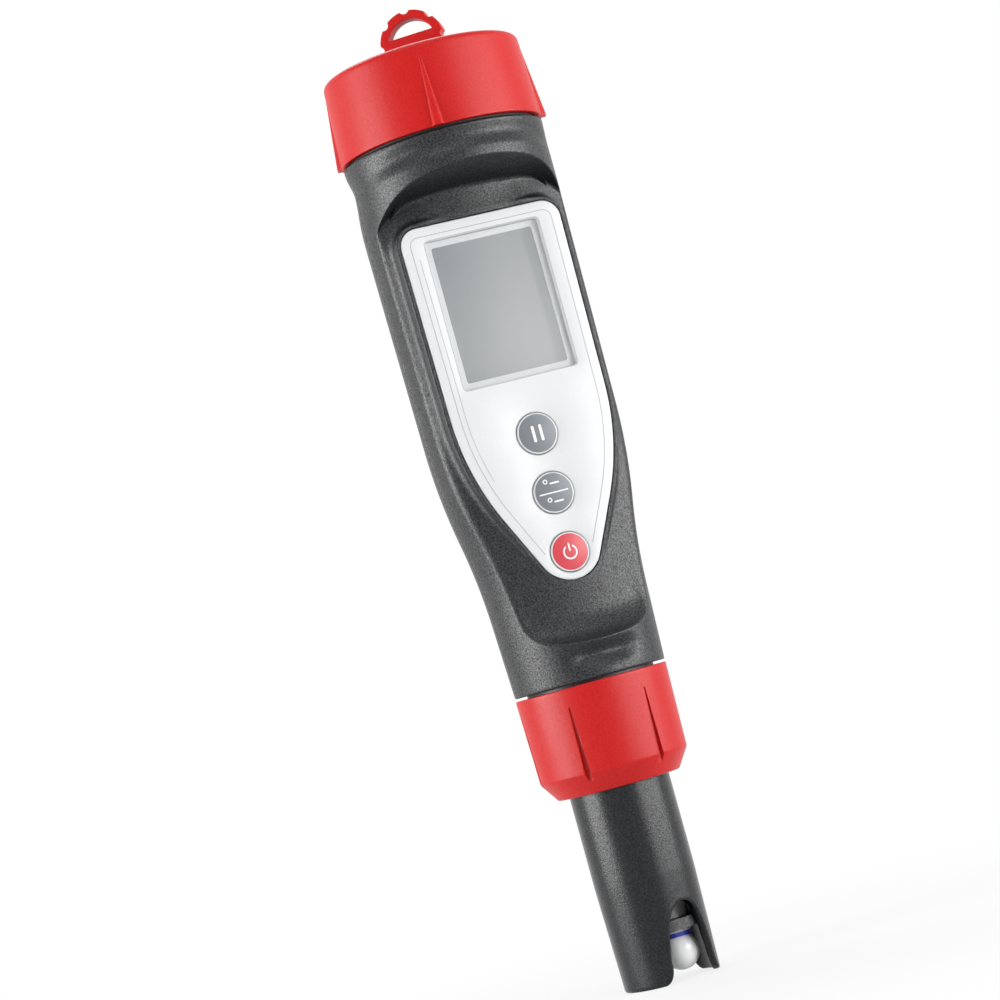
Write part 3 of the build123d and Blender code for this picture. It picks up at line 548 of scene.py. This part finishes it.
def surface_from_rings(name, rings, poles, material):
    """A closed skin of quads between rings of equally many points, with a fan of triangles to one
    point at each end, or with no poles, from the last ring back to the first."""
    count = len(rings[0])
    index = np.arange(len(rings) * count).reshape(len(rings), count)
    if poles is None:
        index = np.concatenate([index, index[:1]])
    faces = quads(index)
    points = np.concatenate(rings if poles is None else [*rings, np.asarray(poles, float)])
    if poles is not None:
        first, last = len(points) - 2, len(points) - 1
        faces += np.stack([np.full(count, first), np.roll(index[0], -1), index[0]], 1).tolist()
        faces += np.stack([np.full(count, last), index[-1], np.roll(index[-1], -1)], 1).tolist()
    return piece_from_faces(name, points, faces, [], material)


def circle(height, radius, count=64):
    """A circle on the panel's middle line, clockwise from its top."""
    turn = np.arange(count) * 2 * math.pi / count
    return np.stack([radius * np.sin(turn), height + radius * np.cos(turn)], 1)


def window_loop(grow, corner):
    """The window's outline grown by a distance, clockwise from the middle of its top."""
    x, z = window_width / 2 + grow, window_height / 2 + grow
    points = np.array([(0.0, z), (x, z), (x, -z), (-x, -z), (-x, z)]) + (0, window_middle)
    return rounded_outline(points, [0.0] + [corner] * 4, 160)


def fill_triangles(loops):
    """Triangles between an outline and its openings: those of a constrained Delaunay net whose middle
    lies inside an odd number of the loops, tested at the single precision that the net itself has."""
    start = np.concatenate(loops).astype(np.float32).astype(float)
    first = np.cumsum([0] + [len(loop) for loop in loops])
    after = np.concatenate([np.roll(np.arange(a, b), -1) for a, b in zip(first[:-1], first[1:])])
    links = np.stack([np.arange(len(start)), after], 1).tolist()
    net = delaunay_2d_cdt([Vector(point) for point in start.tolist()], links, [], 0, 1e-7)
    triangles = np.array([ids[0] for ids in net[3]])[np.array(net[2])]
    middle, end = start[triangles].mean(1), start[after]
    x, z = middle[:, :1], middle[:, 1:]
    spans = (start[:, 1] > z) != (end[:, 1] > z)
    rise = np.where(end[:, 1] == start[:, 1], 1, end[:, 1] - start[:, 1])
    crossings = spans & (x < start[:, 0] + (z - start[:, 1]) / rise * (end[:, 0] - start[:, 0]))
    return triangles[crossings.sum(1) % 2 == 1]


def shell_with_openings(name, rings, openings, material):
    """A closed skin of quads between rings of points, whose first and last ring, level and alike in
    the front view, are filled flat around openings. Their walls run straight from one to the other."""
    count = len(rings[0])
    index = np.arange(len(rings) * count).reshape(len(rings), count)
    points, walls, levels, first = list(rings), [], [[index[0]], [index[-1]]], index.size
    for loop in openings:
        ends = first + np.arange(2 * len(loop)).reshape(2, -1)
        for level, ring, end in zip(levels, (rings[0], rings[-1]), ends):
            points.append(np.insert(loop, 1, ring[0, 1], 1))
            level.append(end)
        walls += quads(ends)
        first += 2 * len(loop)
    points = np.concatenate(points)
    for level in levels:
        triangles = fill_triangles([points[ids][:, [0, 2]] for ids in level])
        walls += np.concatenate(level)[triangles].tolist()
    return piece_from_faces(name, points, quads(index), walls, material)


seat_openings = [window_loop(display_border, 0.15)]
seat_openings += [circle(z, key_radii[name] + key_gap) for name, z in key_heights.items()]
front_shell = shell_with_openings("front_shell_skin", front_shell_rows(), seat_openings, black)
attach(front_shell, "housing")
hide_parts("front_shell")


# Rear half of the body. The same drafted form with nothing cut from it, moulded in the same
# plastic and joined to the front half along the seam.
back_middle = 111.0


def rear_shell_rows():
    """Closed skin of the rear half: rings on rays from the middle of its back, as on the front half,
    over azimuth times a unit radius and height."""
    unit = 17.0
    ends = boundary_walk((math.pi / 2 - seam_half_gap / unit) * unit, body_foot, body_head, 0.9)
    middle = np.array([0.0, back_middle])
    length = np.linalg.norm(ends - middle, axis=1)[:, None]

    def ring(share, drop=0.0):
        """Points at a share of each ray, sunk towards the pen's axis."""
        spot = middle + (ends - middle) * share
        turned = spot[:, 0] / unit
        azimuth = math.pi - np.abs(turned)
        radius = body_radius(azimuth, spot[:, 1]) - drop
        return np.stack([-radius * np.sin(turned), radius * np.cos(turned), spot[:, 1]], 1)

    rows = [ring(share * (1 - seam_radius / length)) for share in np.linspace(0.02, 1, 46)]
    for turn in np.radians([30, 60, 90]):
        share = 1 - seam_radius * (1 - math.sin(turn)) / length
        rows.append(ring(share, seam_radius * (1 - math.cos(turn))))
    return rows + [ring(share, body_wall) for share in np.linspace(1, 0.05, 24)]


back = body_radius(math.pi, back_middle)
rear_shell = surface_from_rings("rear_shell_skin", rear_shell_rows(),
                                [(0, back, back_middle), (0, back - body_wall, back_middle)], black)
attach(rear_shell, "housing")
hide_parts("rear_shell")


# Front panel. A light grey acrylic plate, pressed into its pocket in the front shell, with rounded
# edges and openings for the window and the keys. Fine grey lines are printed round its border.
panel_back = 8.4
print_lift = 0.02
panel_grey = plastic("panel_grey", (0.59, 0.6, 0.61), 0.3, shine=0.35)
line_grey = plastic("print_grey", (0.33, 0.34, 0.35), 0.35)
quarter_turn = np.radians([0, 22.5, 45, 67.5, 90])


def round_plate(name, loops, front, back, front_round, back_round, material):
    """A closed plate between two depths, with its sides on loops of points in the front view, outlines
    clockwise and openings the other way. Its edges are quarter rounds, and its faces are filled flat."""
    front_turn, back_turn = (quarter_turn if radius else quarter_turn[-1:]
                             for radius in (front_round, back_round))
    inset = np.concatenate([front_round * (1 - np.sin(front_turn)), back_round * (1 - np.cos(back_turn))])
    depth = np.concatenate([front - front_round * (1 - np.cos(front_turn)),
                            back + back_round * (1 - np.sin(back_turn))])
    points, sides, ends, first = [], [], [[], []], 0
    for loop in loops:
        flat = loop[None] + side_normals(loop)[None] * inset[:, None, None]
        level = np.broadcast_to(-depth[:, None], flat.shape[:2])
        points.append(np.stack([flat[:, :, 0], level, flat[:, :, 1]], 2).reshape(-1, 3))
        index = first + np.arange(level.size).reshape(level.shape)
        sides += quads(index)
        ends[0].append(index[0])
        ends[1].append(index[-1])
        first += level.size
    points = np.concatenate(points)
    fills = []
    for rim in ends:
        triangles = fill_triangles([points[index][:, [0, 2]] for index in rim])
        fills += np.concatenate(rim)[triangles].tolist()
    return piece_from_faces(name, points, sides, fills, material)


def stroke(run, width):
    """Outline of a line of one width along an open run of points, with round ends."""
    along = np.gradient(run, axis=0)
    along = along / np.linalg.norm(along, axis=1)[:, None]
    side = np.stack([along[:, 1], -along[:, 0]], 1)
    turn = np.linspace(0, math.pi, 9)[1:-1, None]
    far = run[-1] + (side[-1] * np.cos(turn) + along[-1] * np.sin(turn)) * width / 2
    near = run[0] - (side[0] * np.cos(turn) + along[0] * np.sin(turn)) * width / 2
    return np.concatenate([run + side * width / 2, far, (run - side * width / 2)[::-1], near])


def inset_run(inset, keep):
    """The part of the panel's outline, drawn in by a distance, that a test keeps, in one run."""
    run = shield + side_normals(shield) * inset
    kept = keep(run)
    start = int(np.argmax(kept & ~np.roll(kept, 1)))
    return np.roll(run, -start, 0)[:int(kept.sum())]


openings = [window_loop(0.05, 0.6)]
openings += [circle(z, key_radii[name] + key_gap) for name, z in key_heights.items()]
panel = round_plate("front_panel_plate", [shield] + [loop[::-1] for loop in openings],
                    panel_depth, panel_back, 0.25, 0.0, panel_grey)
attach(panel, "housing")
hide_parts("front_panel")

border = [stroke(inset_run(1.8, lambda run: run[:, 1] > 82.7), 0.16),
          stroke(inset_run(2.9, lambda run: (run[:, 0] < -8) & (run[:, 1] < 142) & (run[:, 1] > 98)), 0.12),
          window_loop(0.3, 0.8), window_loop(0.16, 0.7)[::-1]]
for name, z in key_heights.items():
    border += [circle(z, key_radii[name] + 0.3), circle(z, key_radii[name] + 0.16)[::-1]]
lines = round_plate("panel_lines", border, panel_depth + print_lift, panel_depth - print_lift, 0.0, 0.0,
                    line_grey)
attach(lines, "housing")


# Display. A grey reflective liquid crystal glass behind a clear window, under a thin light mask that leaves
# only its working area open. It is switched off, so nothing shows on it, and its grey carries painted shade
# and painted shadows.
def part_of(wire, place, axis):
    """One coordinate of a place."""
    return wire.node("ShaderNodeSeparateXYZ", {}, {"Vector": place}, axis)


def span(wire, value, start, end):
    """Zero to one, smoothly, while a value goes from start to end in metres."""
    return wire.node("ShaderNodeMapRange", {"interpolation_type": "SMOOTHSTEP"},
                     {"Value": value, "From Min": start, "From Max": end})


def display_material():
    """A grey with painted shade and shadow: it turns bluer and darker to the upper left, and darker bands
    along the right and the bottom are painted shadows of the mask's edge.
    """
    material, wire, place, shader = finish("display_grey")
    x, z = part_of(wire, place, "X"), part_of(wire, place, "Z")
    # Painted shade: the grey turns darker and bluer towards the upper left.
    light = 0.5 * span(wire, x, -0.011, 0.004) + 0.5 * span(wire, z, 0.145, 0.12)
    # Painted shadows of the mask's edge: darker bands along the right and the bottom.
    light = light - 0.3 * span(wire, x, 0.0074, 0.0088) - 0.15 * span(wire, z, 0.1188, 0.1172)
    light = light + 0.03 * noise(wire, place, 120.0, 3.0)
    colour = blend(wire, light, (0.116, 0.131, 0.139), (0.265, 0.269, 0.269))
    connect(wire, shader, base_color=colour, roughness=0.22, coat_weight=0.3, coat_roughness=0.08)
    return material


def window_material():
    """Clear acrylic so thin that it only adds a faint sheen."""
    material, wire, place, shader = finish("clear_acrylic")
    haze = noise(wire, place, 60.0)
    connect(wire, shader, base_color=(0.9, 0.93, 0.95, 1), roughness=0.04 + 0.03 * haze, alpha=0.06)
    return material


dress(display_material(), "lcd_glass")
dress(window_material(), "display_window")
mask_front, mask_back, mask_border = 8.393, 8.357, 1.2
mask_grey = plastic("mask_grey", (0.5, 0.51, 0.52), 0.35)
mask = round_plate("display_mask", [window_loop(0.0, 0.6), window_loop(-mask_border, 0.15)[::-1]],
                   mask_front, mask_back, 0.0, 0.0, mask_grey)
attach(mask, "housing")


# Keys. Three round keys of the panel's plastic on flexible flanges, each with a printed disc and a
# plain mark: two bars for holding a reading, two halves for the unit, and the standby sign.
key_top, key_edge, stem_back, stem_radius = 9.9, 0.25, 5.05, 1.5
flange_front, flange_back, flange_width = 6.75, 6.05, 0.7
disc_front, disc_back, disc_inset = 9.93, 9.87, 0.27
mark_front, mark_back = 9.945, 9.92


def key_rings(height, radius):
    """A key as rings round its own axis: a flat top, a round edge, a flange and a stem."""
    flat, wide = radius - key_edge, radius + flange_width
    edge = zip(flat + key_edge * np.sin(quarter_turn), key_top - key_edge + key_edge * np.cos(quarter_turn))
    profile = [*edge, (radius, flange_front), (wide, flange_front), (wide, flange_back),
               (stem_radius, flange_back), (stem_radius, stem_back)]
    return [np.insert(circle(height, r, 72), 1, -depth, 1) for r, depth in profile]


def arc(height, radius, start, end):
    """33 points on a circle between two angles in degrees, clockwise from its top."""
    turn = np.radians(np.linspace(start, end, 33))
    return np.stack([radius * np.sin(turn), height + radius * np.cos(turn)], 1)


def line(start, end):
    """Nine points from one place straight to another."""
    start, end = np.array(start), np.array(end)
    return start + (end - start) * np.linspace(0, 1, 9)[:, None]


hold_z, unit_z, power_z = key_heights.values()
hold_marks = [stroke(line((x, hold_z - 1.3), (x, hold_z + 1.3)), 0.55) for x in (-0.75, 0.75)]
unit_marks = [stroke(line((-2.75, unit_z), (2.75, unit_z)), 0.24)]
for side in (-1, 1):
    dot_z = unit_z + side * 1.75 + 0.5
    unit_marks += [circle(dot_z, 0.46, 24) - (1.15, 0), circle(dot_z, 0.26, 24)[::-1] - (1.15, 0)]
    unit_marks += [stroke(line((-0.25, unit_z + side * 1.75), (1.35, unit_z + side * 1.75)), 0.3)]
power_marks = [stroke(arc(power_z - 0.05, 1.25, 35, 325), 0.3),
               stroke(line((0, power_z + 0.25), (0, power_z + 1.5)), 0.3)]
disc_grey = plastic("key_grey", (0.13, 0.145, 0.16), 0.35)
disc_red = plastic("key_red", (0.5, 0.03, 0.045), 0.32)
mark_white = plastic("mark_white", (0.7, 0.71, 0.71), 0.4)
key_bodies = {"hold_key": "upper_key", "unit_key": "middle_key", "power_key": "lower_key"}
key_marks = {"hold_key": hold_marks, "unit_key": unit_marks, "power_key": power_marks}
for name, z in key_heights.items():
    head = surface_from_rings(name + "_head", key_rings(z, key_radii[name]),
                              [(0, -key_top, z), (0, -stem_back, z)], panel_grey)
    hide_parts(name)
    disc = round_plate(name + "_disc", [circle(z, key_radii[name] - disc_inset, 72)], disc_front, disc_back,
                       0.025, 0.0, disc_red if name == "power_key" else disc_grey)
    mark = round_plate(name + "_mark", key_marks[name], mark_front, mark_back, 0.0, 0.0, mark_white)
    for piece in (head, disc, mark):
        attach(piece, key_bodies[name])


# Screw cap. One red ABS moulding with a crowned top, four wedge ribs to grip it by and a toothed
# lanyard loop. It screws on the battery neck and turns the contact plate's clip with its stem.
red = plastic("red_abs", (0.44, 0.006, 0.005), 0.42, 0.00001, 0.08, 0.22, 0.25)
cap_lip, cap_wall_top, cap_top = 164.0, 179.2, 182.7
cap_radius, cap_flare, lip_round = 19.2, 0.6, 0.2
crown_edge, crown_rise, crown_round = 18.1, 2.4, 1.1
rib_azimuth, rib_length, rib_proud = math.radians(-15.5), 13.9, 0.85
rib_half_head, rib_half_foot = 0.21, 1.05
stem_foot = 172.15


def fluted_columns(count, start, spread, between):
    """Azimuths of a grid that crowds round evenly spaced flutes, in rows. Columns near a flute lie at
    set multiples of its spread, its half width as an angle, and the rest are even between them. The
    second result is each column's multiple of the spread."""
    near = np.array([0, 0.2, 0.4, 0.55, 0.7, 0.82, 0.92, 1.0, 1.08, 1.18, 1.35, 1.7, 2.3])
    near = np.concatenate([-near[:0:-1], near])
    pitch = 2 * math.pi / count
    spread = np.asarray(spread, float)[:, None]
    share = np.arange(1, between) / between
    azimuth = []
    for centre in start + pitch * np.arange(count):
        even = centre + near[-1] * spread + (pitch - 2 * near[-1] * spread) * share
        azimuth += [centre + near * spread, even]
    multiple = np.tile(np.concatenate([np.abs(near), np.full(between - 1, 9.0)]), count)
    return np.concatenate(azimuth, 1), multiple


def upright_rings(azimuth, radius, z):
    """Rings about the pen's axis from rows of azimuths and radii, and one height for each row."""
    radius = np.broadcast_to(radius, azimuth.shape)
    level = np.broadcast_to(np.asarray(z, float)[:, None], azimuth.shape)
    return list(np.stack([radius * np.sin(azimuth), -radius * np.cos(azimuth), level], 2))


def cap_rings():
    """Rings from the crown's middle over the edge, down the ribbed wall and back up inside."""
    sphere = (crown_edge**2 + crown_rise**2) / (2 * crown_rise)
    crown_r = np.linspace(0.8, crown_edge, 14)
    crown_z = cap_top - sphere + np.sqrt(sphere**2 - crown_r**2)
    edge = np.radians([15, 30, 45, 60, 75, 90])
    wall_z = np.concatenate([np.linspace(cap_wall_top, 178.2, 3), np.linspace(178.0, 164.4, 44), [164.2]])
    wall_r = cap_radius + cap_flare * (cap_wall_top - wall_z) / (cap_wall_top - cap_lip)
    lip = np.radians([30, 60, 90])
    radius = np.concatenate([crown_r, crown_edge + crown_round * np.sin(edge), wall_r[1:],
                             19.6 + lip_round * np.cos(lip)])
    z = np.concatenate([crown_z, cap_wall_top + crown_round * np.cos(edge), wall_z[1:],
                        164.2 - lip_round * np.sin(lip)])
    low = np.clip((cap_lip + rib_length - z) / rib_length, 0, 1)
    half_width = rib_half_head + (rib_half_foot - rib_half_head) * low
    azimuth, multiple = fluted_columns(4, rib_azimuth, half_width / 19.5, 30)
    radius = radius[:, None] + rib_proud * low[:, None] * (1 - ramp(multiple, 0.58, 1.05))
    inside = np.array([(18.647, 164.0), (18.647, 164.7), (17.447, 164.7), (17.447, 175.0), (15.447, 175.0),
                       (15.447, 178.1), (4.0, 178.1), (4.0, 174.65), (2.0, 174.65), (2.0, stem_foot)])
    plain = np.broadcast_to(azimuth[-1], (len(inside), azimuth.shape[1]))
    return upright_rings(azimuth, radius, z) + upright_rings(plain, inside[:, :1], inside[:, 1])


cap = surface_from_rings("screw_cap_skin", cap_rings(), [(0, 0, cap_top), (0, 0, stem_foot)], red)
loop_height, loop_foot, loop_radius, gap_reach = 184.2, 179.3, 6.25, 6.65
hole_radius, sill_height = 4.6, 1.5
loop_half_width, loop_round, loop_turn = 1.8, 0.15, math.radians(-26)


def loop_outline():
    """The loop's outline: a circle with round gaps cut in it eight to the turn, their corners eased,
    and a plain foot that ends level under the crown."""
    angle = np.arange(480) * 2 * math.pi / 480
    off = (angle + math.pi / 8) % (math.pi / 4) - math.pi / 8
    gap = gap_reach * np.cos(off) - np.sqrt(np.maximum(1 - (gap_reach * np.sin(off)) ** 2, 0))
    notched = (np.abs(gap_reach * np.sin(off)) < 1) & (np.cos(angle) > -0.4)
    radius = smooth_cut(np.full(len(angle), loop_radius), np.where(notched, gap, 9), 0.3)
    z = smooth_union(loop_height + radius * np.cos(angle), loop_foot, 1.5)
    return np.stack([radius * np.sin(angle), z], 1)


def loop_hole():
    """The loop's opening: an arc over a level sill."""
    reach = math.acos(sill_height / hole_radius)
    angle = np.linspace(-reach, reach, 65)
    sill = np.linspace(1, -1, 25)[1:-1] * hole_radius * math.sin(reach)
    over = np.stack([hole_radius * np.sin(angle), loop_height + hole_radius * np.cos(angle)], 1)
    return np.concatenate([over, np.stack([sill, np.full(len(sill), loop_height + sill_height)], 1)])


loop = round_plate("lanyard_loop", [loop_outline(), loop_hole()[::-1]], loop_half_width, -loop_half_width,
                   loop_round, loop_round, red)
loop.data.transform(Matrix.Rotation(loop_turn, 4, "Z"))
for piece in (cap, loop):
    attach(piece, "screw_cap")
    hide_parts("battery_cap")


# Ring nut. A red ABS nut with a chamfered foot and six wedge grooves to grip it by. It screws on
# the nose of the body and holds the flange of the probe against it.
ring_foot, ring_wall, wall_flare = 37.8, 14.26, 0.4
chamfer_radius, chamfer_height = 11.8, 3.7
groove_top, groove_length, groove_depth = 54.2, 16.4, 1.3
groove_azimuth = math.radians(23)


def ring_nut_rings():
    """Rings from the foot up the grooved wall and back down inside. The wall is the lesser of a cone
    and the chamfer, and each groove is cut by a wedge with a hollow floor and steep sides."""
    z = np.concatenate([np.linspace(37.95, 40.6, 14), np.linspace(40.75, 42.2, 13),
                        np.linspace(42.6, 53.4, 28), np.linspace(53.6, 54.8, 13),
                        np.linspace(55.2, 57.55, 6)])
    chamfer = chamfer_radius + (z - ring_foot) * (ring_wall - chamfer_radius) / chamfer_height
    wall = ring_wall + (z - ring_foot - chamfer_height) * wall_flare / 16.3
    low = np.clip((groove_top - z) / groove_length, 0, 1)
    azimuth, multiple = fluted_columns(6, groove_azimuth, (0.3 + 0.65 * low) / 14.4, 18)
    floor_radius = (14.36 - groove_depth * low)[:, None] + 0.35 * low[:, None] * np.minimum(multiple, 1) ** 2
    sides = np.maximum(multiple - 0.62, 0) * 6
    groove = floor_radius + sides + 3 * ramp(z, 54.15, 54.55)[:, None]
    radius = smooth_cut(smooth_cut(chamfer, wall, 0.25)[:, None], groove, 0.12)
    head = np.radians([30, 60, 90])
    plain = np.array([*zip(14.41 + 0.25 * np.cos(head), 57.55 + 0.25 * np.sin(head)),
                      (12.4, 57.8), (12.4, 40.0), (10.2, 40.0), (10.2, ring_foot), (11.65, ring_foot)])
    even = np.broadcast_to(azimuth[-1], (len(plain), azimuth.shape[1]))
    return upright_rings(azimuth, radius, z) + upright_rings(even, plain[:, :1], plain[:, 1])


ring_nut = surface_from_rings("ring_nut_skin", ring_nut_rings(), None, red)
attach(ring_nut, "ring_nut")
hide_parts("probe_ring")


# Probe sleeve. A black ABS tube that tapers a little to its tip, where two arched notches leave
# prongs that guard the glass bulb. Its flange is clamped in the ring nut.
sleeve_black = plastic("sleeve_abs", (0.004, 0.0046, 0.006), 0.29, 0.00003, 0.7, 0.24, 0.5)
sleeve_radius, sleeve_flare, bore_radius = 9.2, 0.45, 7.9
sleeve_head, flange_top = 37.8, 42.45
arch_height, arch_half_width = 14.4, 5.1
corner_width, corner_height = 2.4, 3.6
outer_round, bore_round = 0.4, 0.25


def sleeve_edge():
    """The tube's lower edge, unrolled: even steps along the level tips of the prongs and the two
    blunt arches between them, their height less a share of the square and fourth power of the way
    from their middle, down to elliptic corners. First column way round, second height."""
    azimuth = np.linspace(0, 2 * math.pi, 8001)
    height = np.full(len(azimuth), 0.0)
    for centre in np.radians([20, 160]):
        side = sleeve_radius * np.abs((azimuth - centre + math.pi) % (2 * math.pi) - math.pi)
        arch = arch_height - 0.152 * side**2 - 0.0095 * side**4
        share = np.clip((arch_half_width + corner_width - side) / corner_width, 0, 1)
        corner = corner_height * (1 - np.sqrt(1 - share**2))
        height = np.maximum(height, np.where(side < arch_half_width, arch, corner))
    along = azimuth * sleeve_radius
    length = np.concatenate([[0], np.cumsum(np.hypot(np.diff(along), np.diff(height)))])
    even = np.linspace(0, length[-1], 360, endpoint=False)
    return np.stack([np.interp(even, length, along), np.interp(even, length, height)], 1)


def sleeve_rings():
    """Rings from the flange down the outside, round the lower edge and back up the bore."""
    edge = sleeve_edge()
    ahead = np.roll(edge, -1, 0) - np.roll(edge, 1, 0)
    half_way = sleeve_radius * math.pi
    ahead[:, 0] = (ahead[:, 0] + half_way) % (2 * half_way) - half_way
    inward = np.stack([-ahead[:, 1], ahead[:, 0]], 1) / np.linalg.norm(ahead, axis=1)[:, None]

    def ring(inset, drop, bore, up=0.0, top=sleeve_head):
        """The edge, drawn inwards and sunk into the wall from its outer face or its bore, a share of
        the way up to the tube's top."""
        spot = edge + inward * inset
        azimuth = spot[:, 0] / sleeve_radius
        z = spot[:, 1] + (top - spot[:, 1]) * up
        wall = sleeve_radius + sleeve_flare * np.clip(z / 20, 0, 1)
        radius = bore_radius + drop if bore else wall - drop
        return np.stack([radius * np.sin(azimuth), -radius * np.cos(azimuth), z], 1)

    outside = [ring(outer_round, 0, False, up) for up in np.linspace(1, 0, 32)[:-1] ** 1.3]
    rounding = [ring(outer_round * (1 - math.sin(t)), outer_round * (1 - math.cos(t)), False)
                for t in quarter_turn]
    rounding += [ring(bore_round * (1 - math.cos(t)), bore_round * (1 - math.sin(t)), True)
                 for t in quarter_turn]
    bore = [ring(bore_round, 0, True, up, flange_top) for up in np.linspace(0, 1, 24)[1:] ** 1.3]
    azimuth = edge[:, 0] / sleeve_radius
    flange = np.array([(11.9, flange_top), (11.9, 40.05), (10.1, 40.05), (10.1, sleeve_head)])
    even = np.broadcast_to(azimuth, (len(flange), len(azimuth)))
    return upright_rings(even, flange[:, :1], flange[:, 1]) + outside + rounding + bore


sleeve = surface_from_rings("probe_sleeve_skin", sleeve_rings(), None, sleeve_black)
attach(sleeve, "probe")
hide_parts("probe_sleeve")


# Glass electrode. A thin pale glass bulb blown on a clear glass stem with a blue joint, and inside it the
# dark wire of the inner electrode, a silver wire coated with its chloride. The bulb's nearly opaque white is
# partly painted light that stands in for the bright backdrop seen through it, and the stem's half-opaque
# white is a painted highlight.
def glass(name, shade, rough, weight, alpha=1.0):
    """Glass with faint ripples in its surface."""
    material, wire, place, shader = finish(name)
    ripple = noise(wire, place, 250.0, 1.0)
    bump = wire.node("ShaderNodeBump", {}, {"Strength": 0.08, "Distance": 0.0001, "Height": ripple})
    connect(wire, shader, base_color=(*shade, 1), roughness=rough + 0.02 * ripple, normal=bump,
            transmission_weight=weight, ior=1.47, alpha=alpha)
    return material


bulb_x, bulb_z, bulb_radius, bulb_neck = 3, 4.9, 3.7, 2.53
bulb_inside, bulb_inside_top = 0.9, 7.6


def bulb_rings():
    """Rings of the bulb from under its outer pole to the neck, and back inside."""
    low = math.pi - np.linspace(0.08, 1, 26) * (math.pi - math.asin(bulb_neck / bulb_radius))
    turn = np.arange(72) * 2 * math.pi / 72
    rings = [np.stack([bulb_x + r * np.sin(turn), -r * np.cos(turn), np.full(72, z)], 1)
             for r, z in zip(bulb_radius * np.sin(low), bulb_z + bulb_radius * np.cos(low))]
    centre, inside = np.array([bulb_x, 0, bulb_z]), []
    for points in rings[::-1]:
        points = centre + (points - centre) * bulb_inside
        points[:, 2] = np.minimum(points[:, 2], bulb_inside_top)
        inside.append(points)
    return rings + inside


bulb_poles = [(bulb_x, 0, bulb_z - share * bulb_radius) for share in (1, bulb_inside)]
# Painted light: the bulb's nearly opaque white partly stands in for the bright backdrop seen through its
# glass.
bulb = surface_from_rings("bulb_skin", bulb_rings(), bulb_poles,
                          glass("bulb_glass", (0.97, 0.975, 0.98), 0.08, 0.0, 0.9))
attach(bulb, "probe")
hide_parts("glass_bulb")
# Painted highlight: the stem's half-opaque white stands in for highlights on clear glass.
dress(glass("stem_glass", (0.97, 0.975, 0.98), 0.04, 0.0, 0.5), "glass_stem")
dress(glass("joint_blue", (0.05, 0.08, 0.6), 0.08, 0.0, 0.8), "joint_ring")


# Parts inside. Sealing rings of black rubber, plated steel contacts, the green board with its
# chips, jacketed cells, and the black mouldings that carry them, all in their own finish.
def metal(name, shade, rough):
    """A plated metal with fine drawn lines along the pen."""
    material, wire, place, shader = finish(name)
    stretched = wire.node("ShaderNodeMapping", {}, {"Vector": place, "Scale": (1, 1, 0.06)})
    drawn = noise(wire, stretched, 2500.0)
    colour = blend(wire, drawn, [channel * 0.85 for channel in shade], shade)
    connect(wire, shader, base_color=colour, roughness=rough + 0.15 * drawn, metallic=1.0)
    return material


def threaded(name, pitch, low, high, radius):
    """The body's black with a right-hand thread, shown by a bump whose crests climb one pitch a turn,
    between two heights and outside a radius, in millimetres."""
    material, wire, place, shader = finish(name)
    x, y, z = (part_of(wire, place, axis) for axis in "XYZ")
    turn = wire.math("ARCTAN2", y, x) * (0.5 / math.pi)
    climb = wire.math("PINGPONG", z * (1000 / pitch) - turn, 0.5)
    reach = wire.math("SQRT", x * x + y * y)
    kept = span(wire, reach, (radius - 0.2) / 1000, (radius - 0.1) / 1000)
    for end, way in ((low, 0.0004), (high, -0.0004)):
        kept = kept * span(wire, z, end / 1000, end / 1000 + way)
    grain = noise(wire, place, 2500.0)
    height = climb * kept * (pitch * 0.8) + 0.05 * grain
    bump = wire.node("ShaderNodeBump", {}, {"Strength": 0.9, "Distance": 0.001, "Height": height})
    connect(wire, shader, base_color=(0.016, 0.0165, 0.0175, 1), roughness=0.38 + 0.1 * grain, normal=bump)
    return material


dress(threaded("neck_thread", 3.0, 165.0, 174.0, 17.347), "battery_barrel")
dress(threaded("nose_thread", 2.5, 43.5, 57.6, 12.3), "nose")
dress(black, "probe_socket", "probe_plug", "end_disc")
dress(plastic("frame_white", (0.62, 0.62, 0.6), 0.4), "lcd_frame", "contact_plate")
dress(plastic("seal_rubber", (0.012, 0.012, 0.013), 0.55, 0.00001, 0.15, 0.3), "cap_seal", "probe_seals",
      "flange_gasket")
dress(plastic("strip_rubber", (0.36, 0.16, 0.21), 0.6, speckle=0.08), "zebra_strips")
dress(plastic("board_green", (0.012, 0.12, 0.035), 0.3, speckle=0.2), "main_board")
dress(plastic("chip_black", (0.012, 0.012, 0.014), 0.45, speckle=0.1), "board_chips")
dress(plastic("cell_jacket", (0.03, 0.09, 0.22), 0.25), "battery_cell_left", "battery_cell_right")
dress(plastic("porous_white", (0.7, 0.69, 0.64), 0.7, 0.00003, 0.08), "reference_junction")
dress(plastic("chloride_black", (0.02, 0.02, 0.022), 0.5, speckle=0.2), "silver_wire")
dress(metal("plated_steel", (0.62, 0.62, 0.61), 0.25), "dome_switches", "board_screws", "negative_contact",
      "positive_contact", "contact_bridge", "plate_clip", "temperature_sensor")
dress(metal("gold_plate", (0.9, 0.62, 0.22), 0.2), "socket_terminals", "probe_pins")
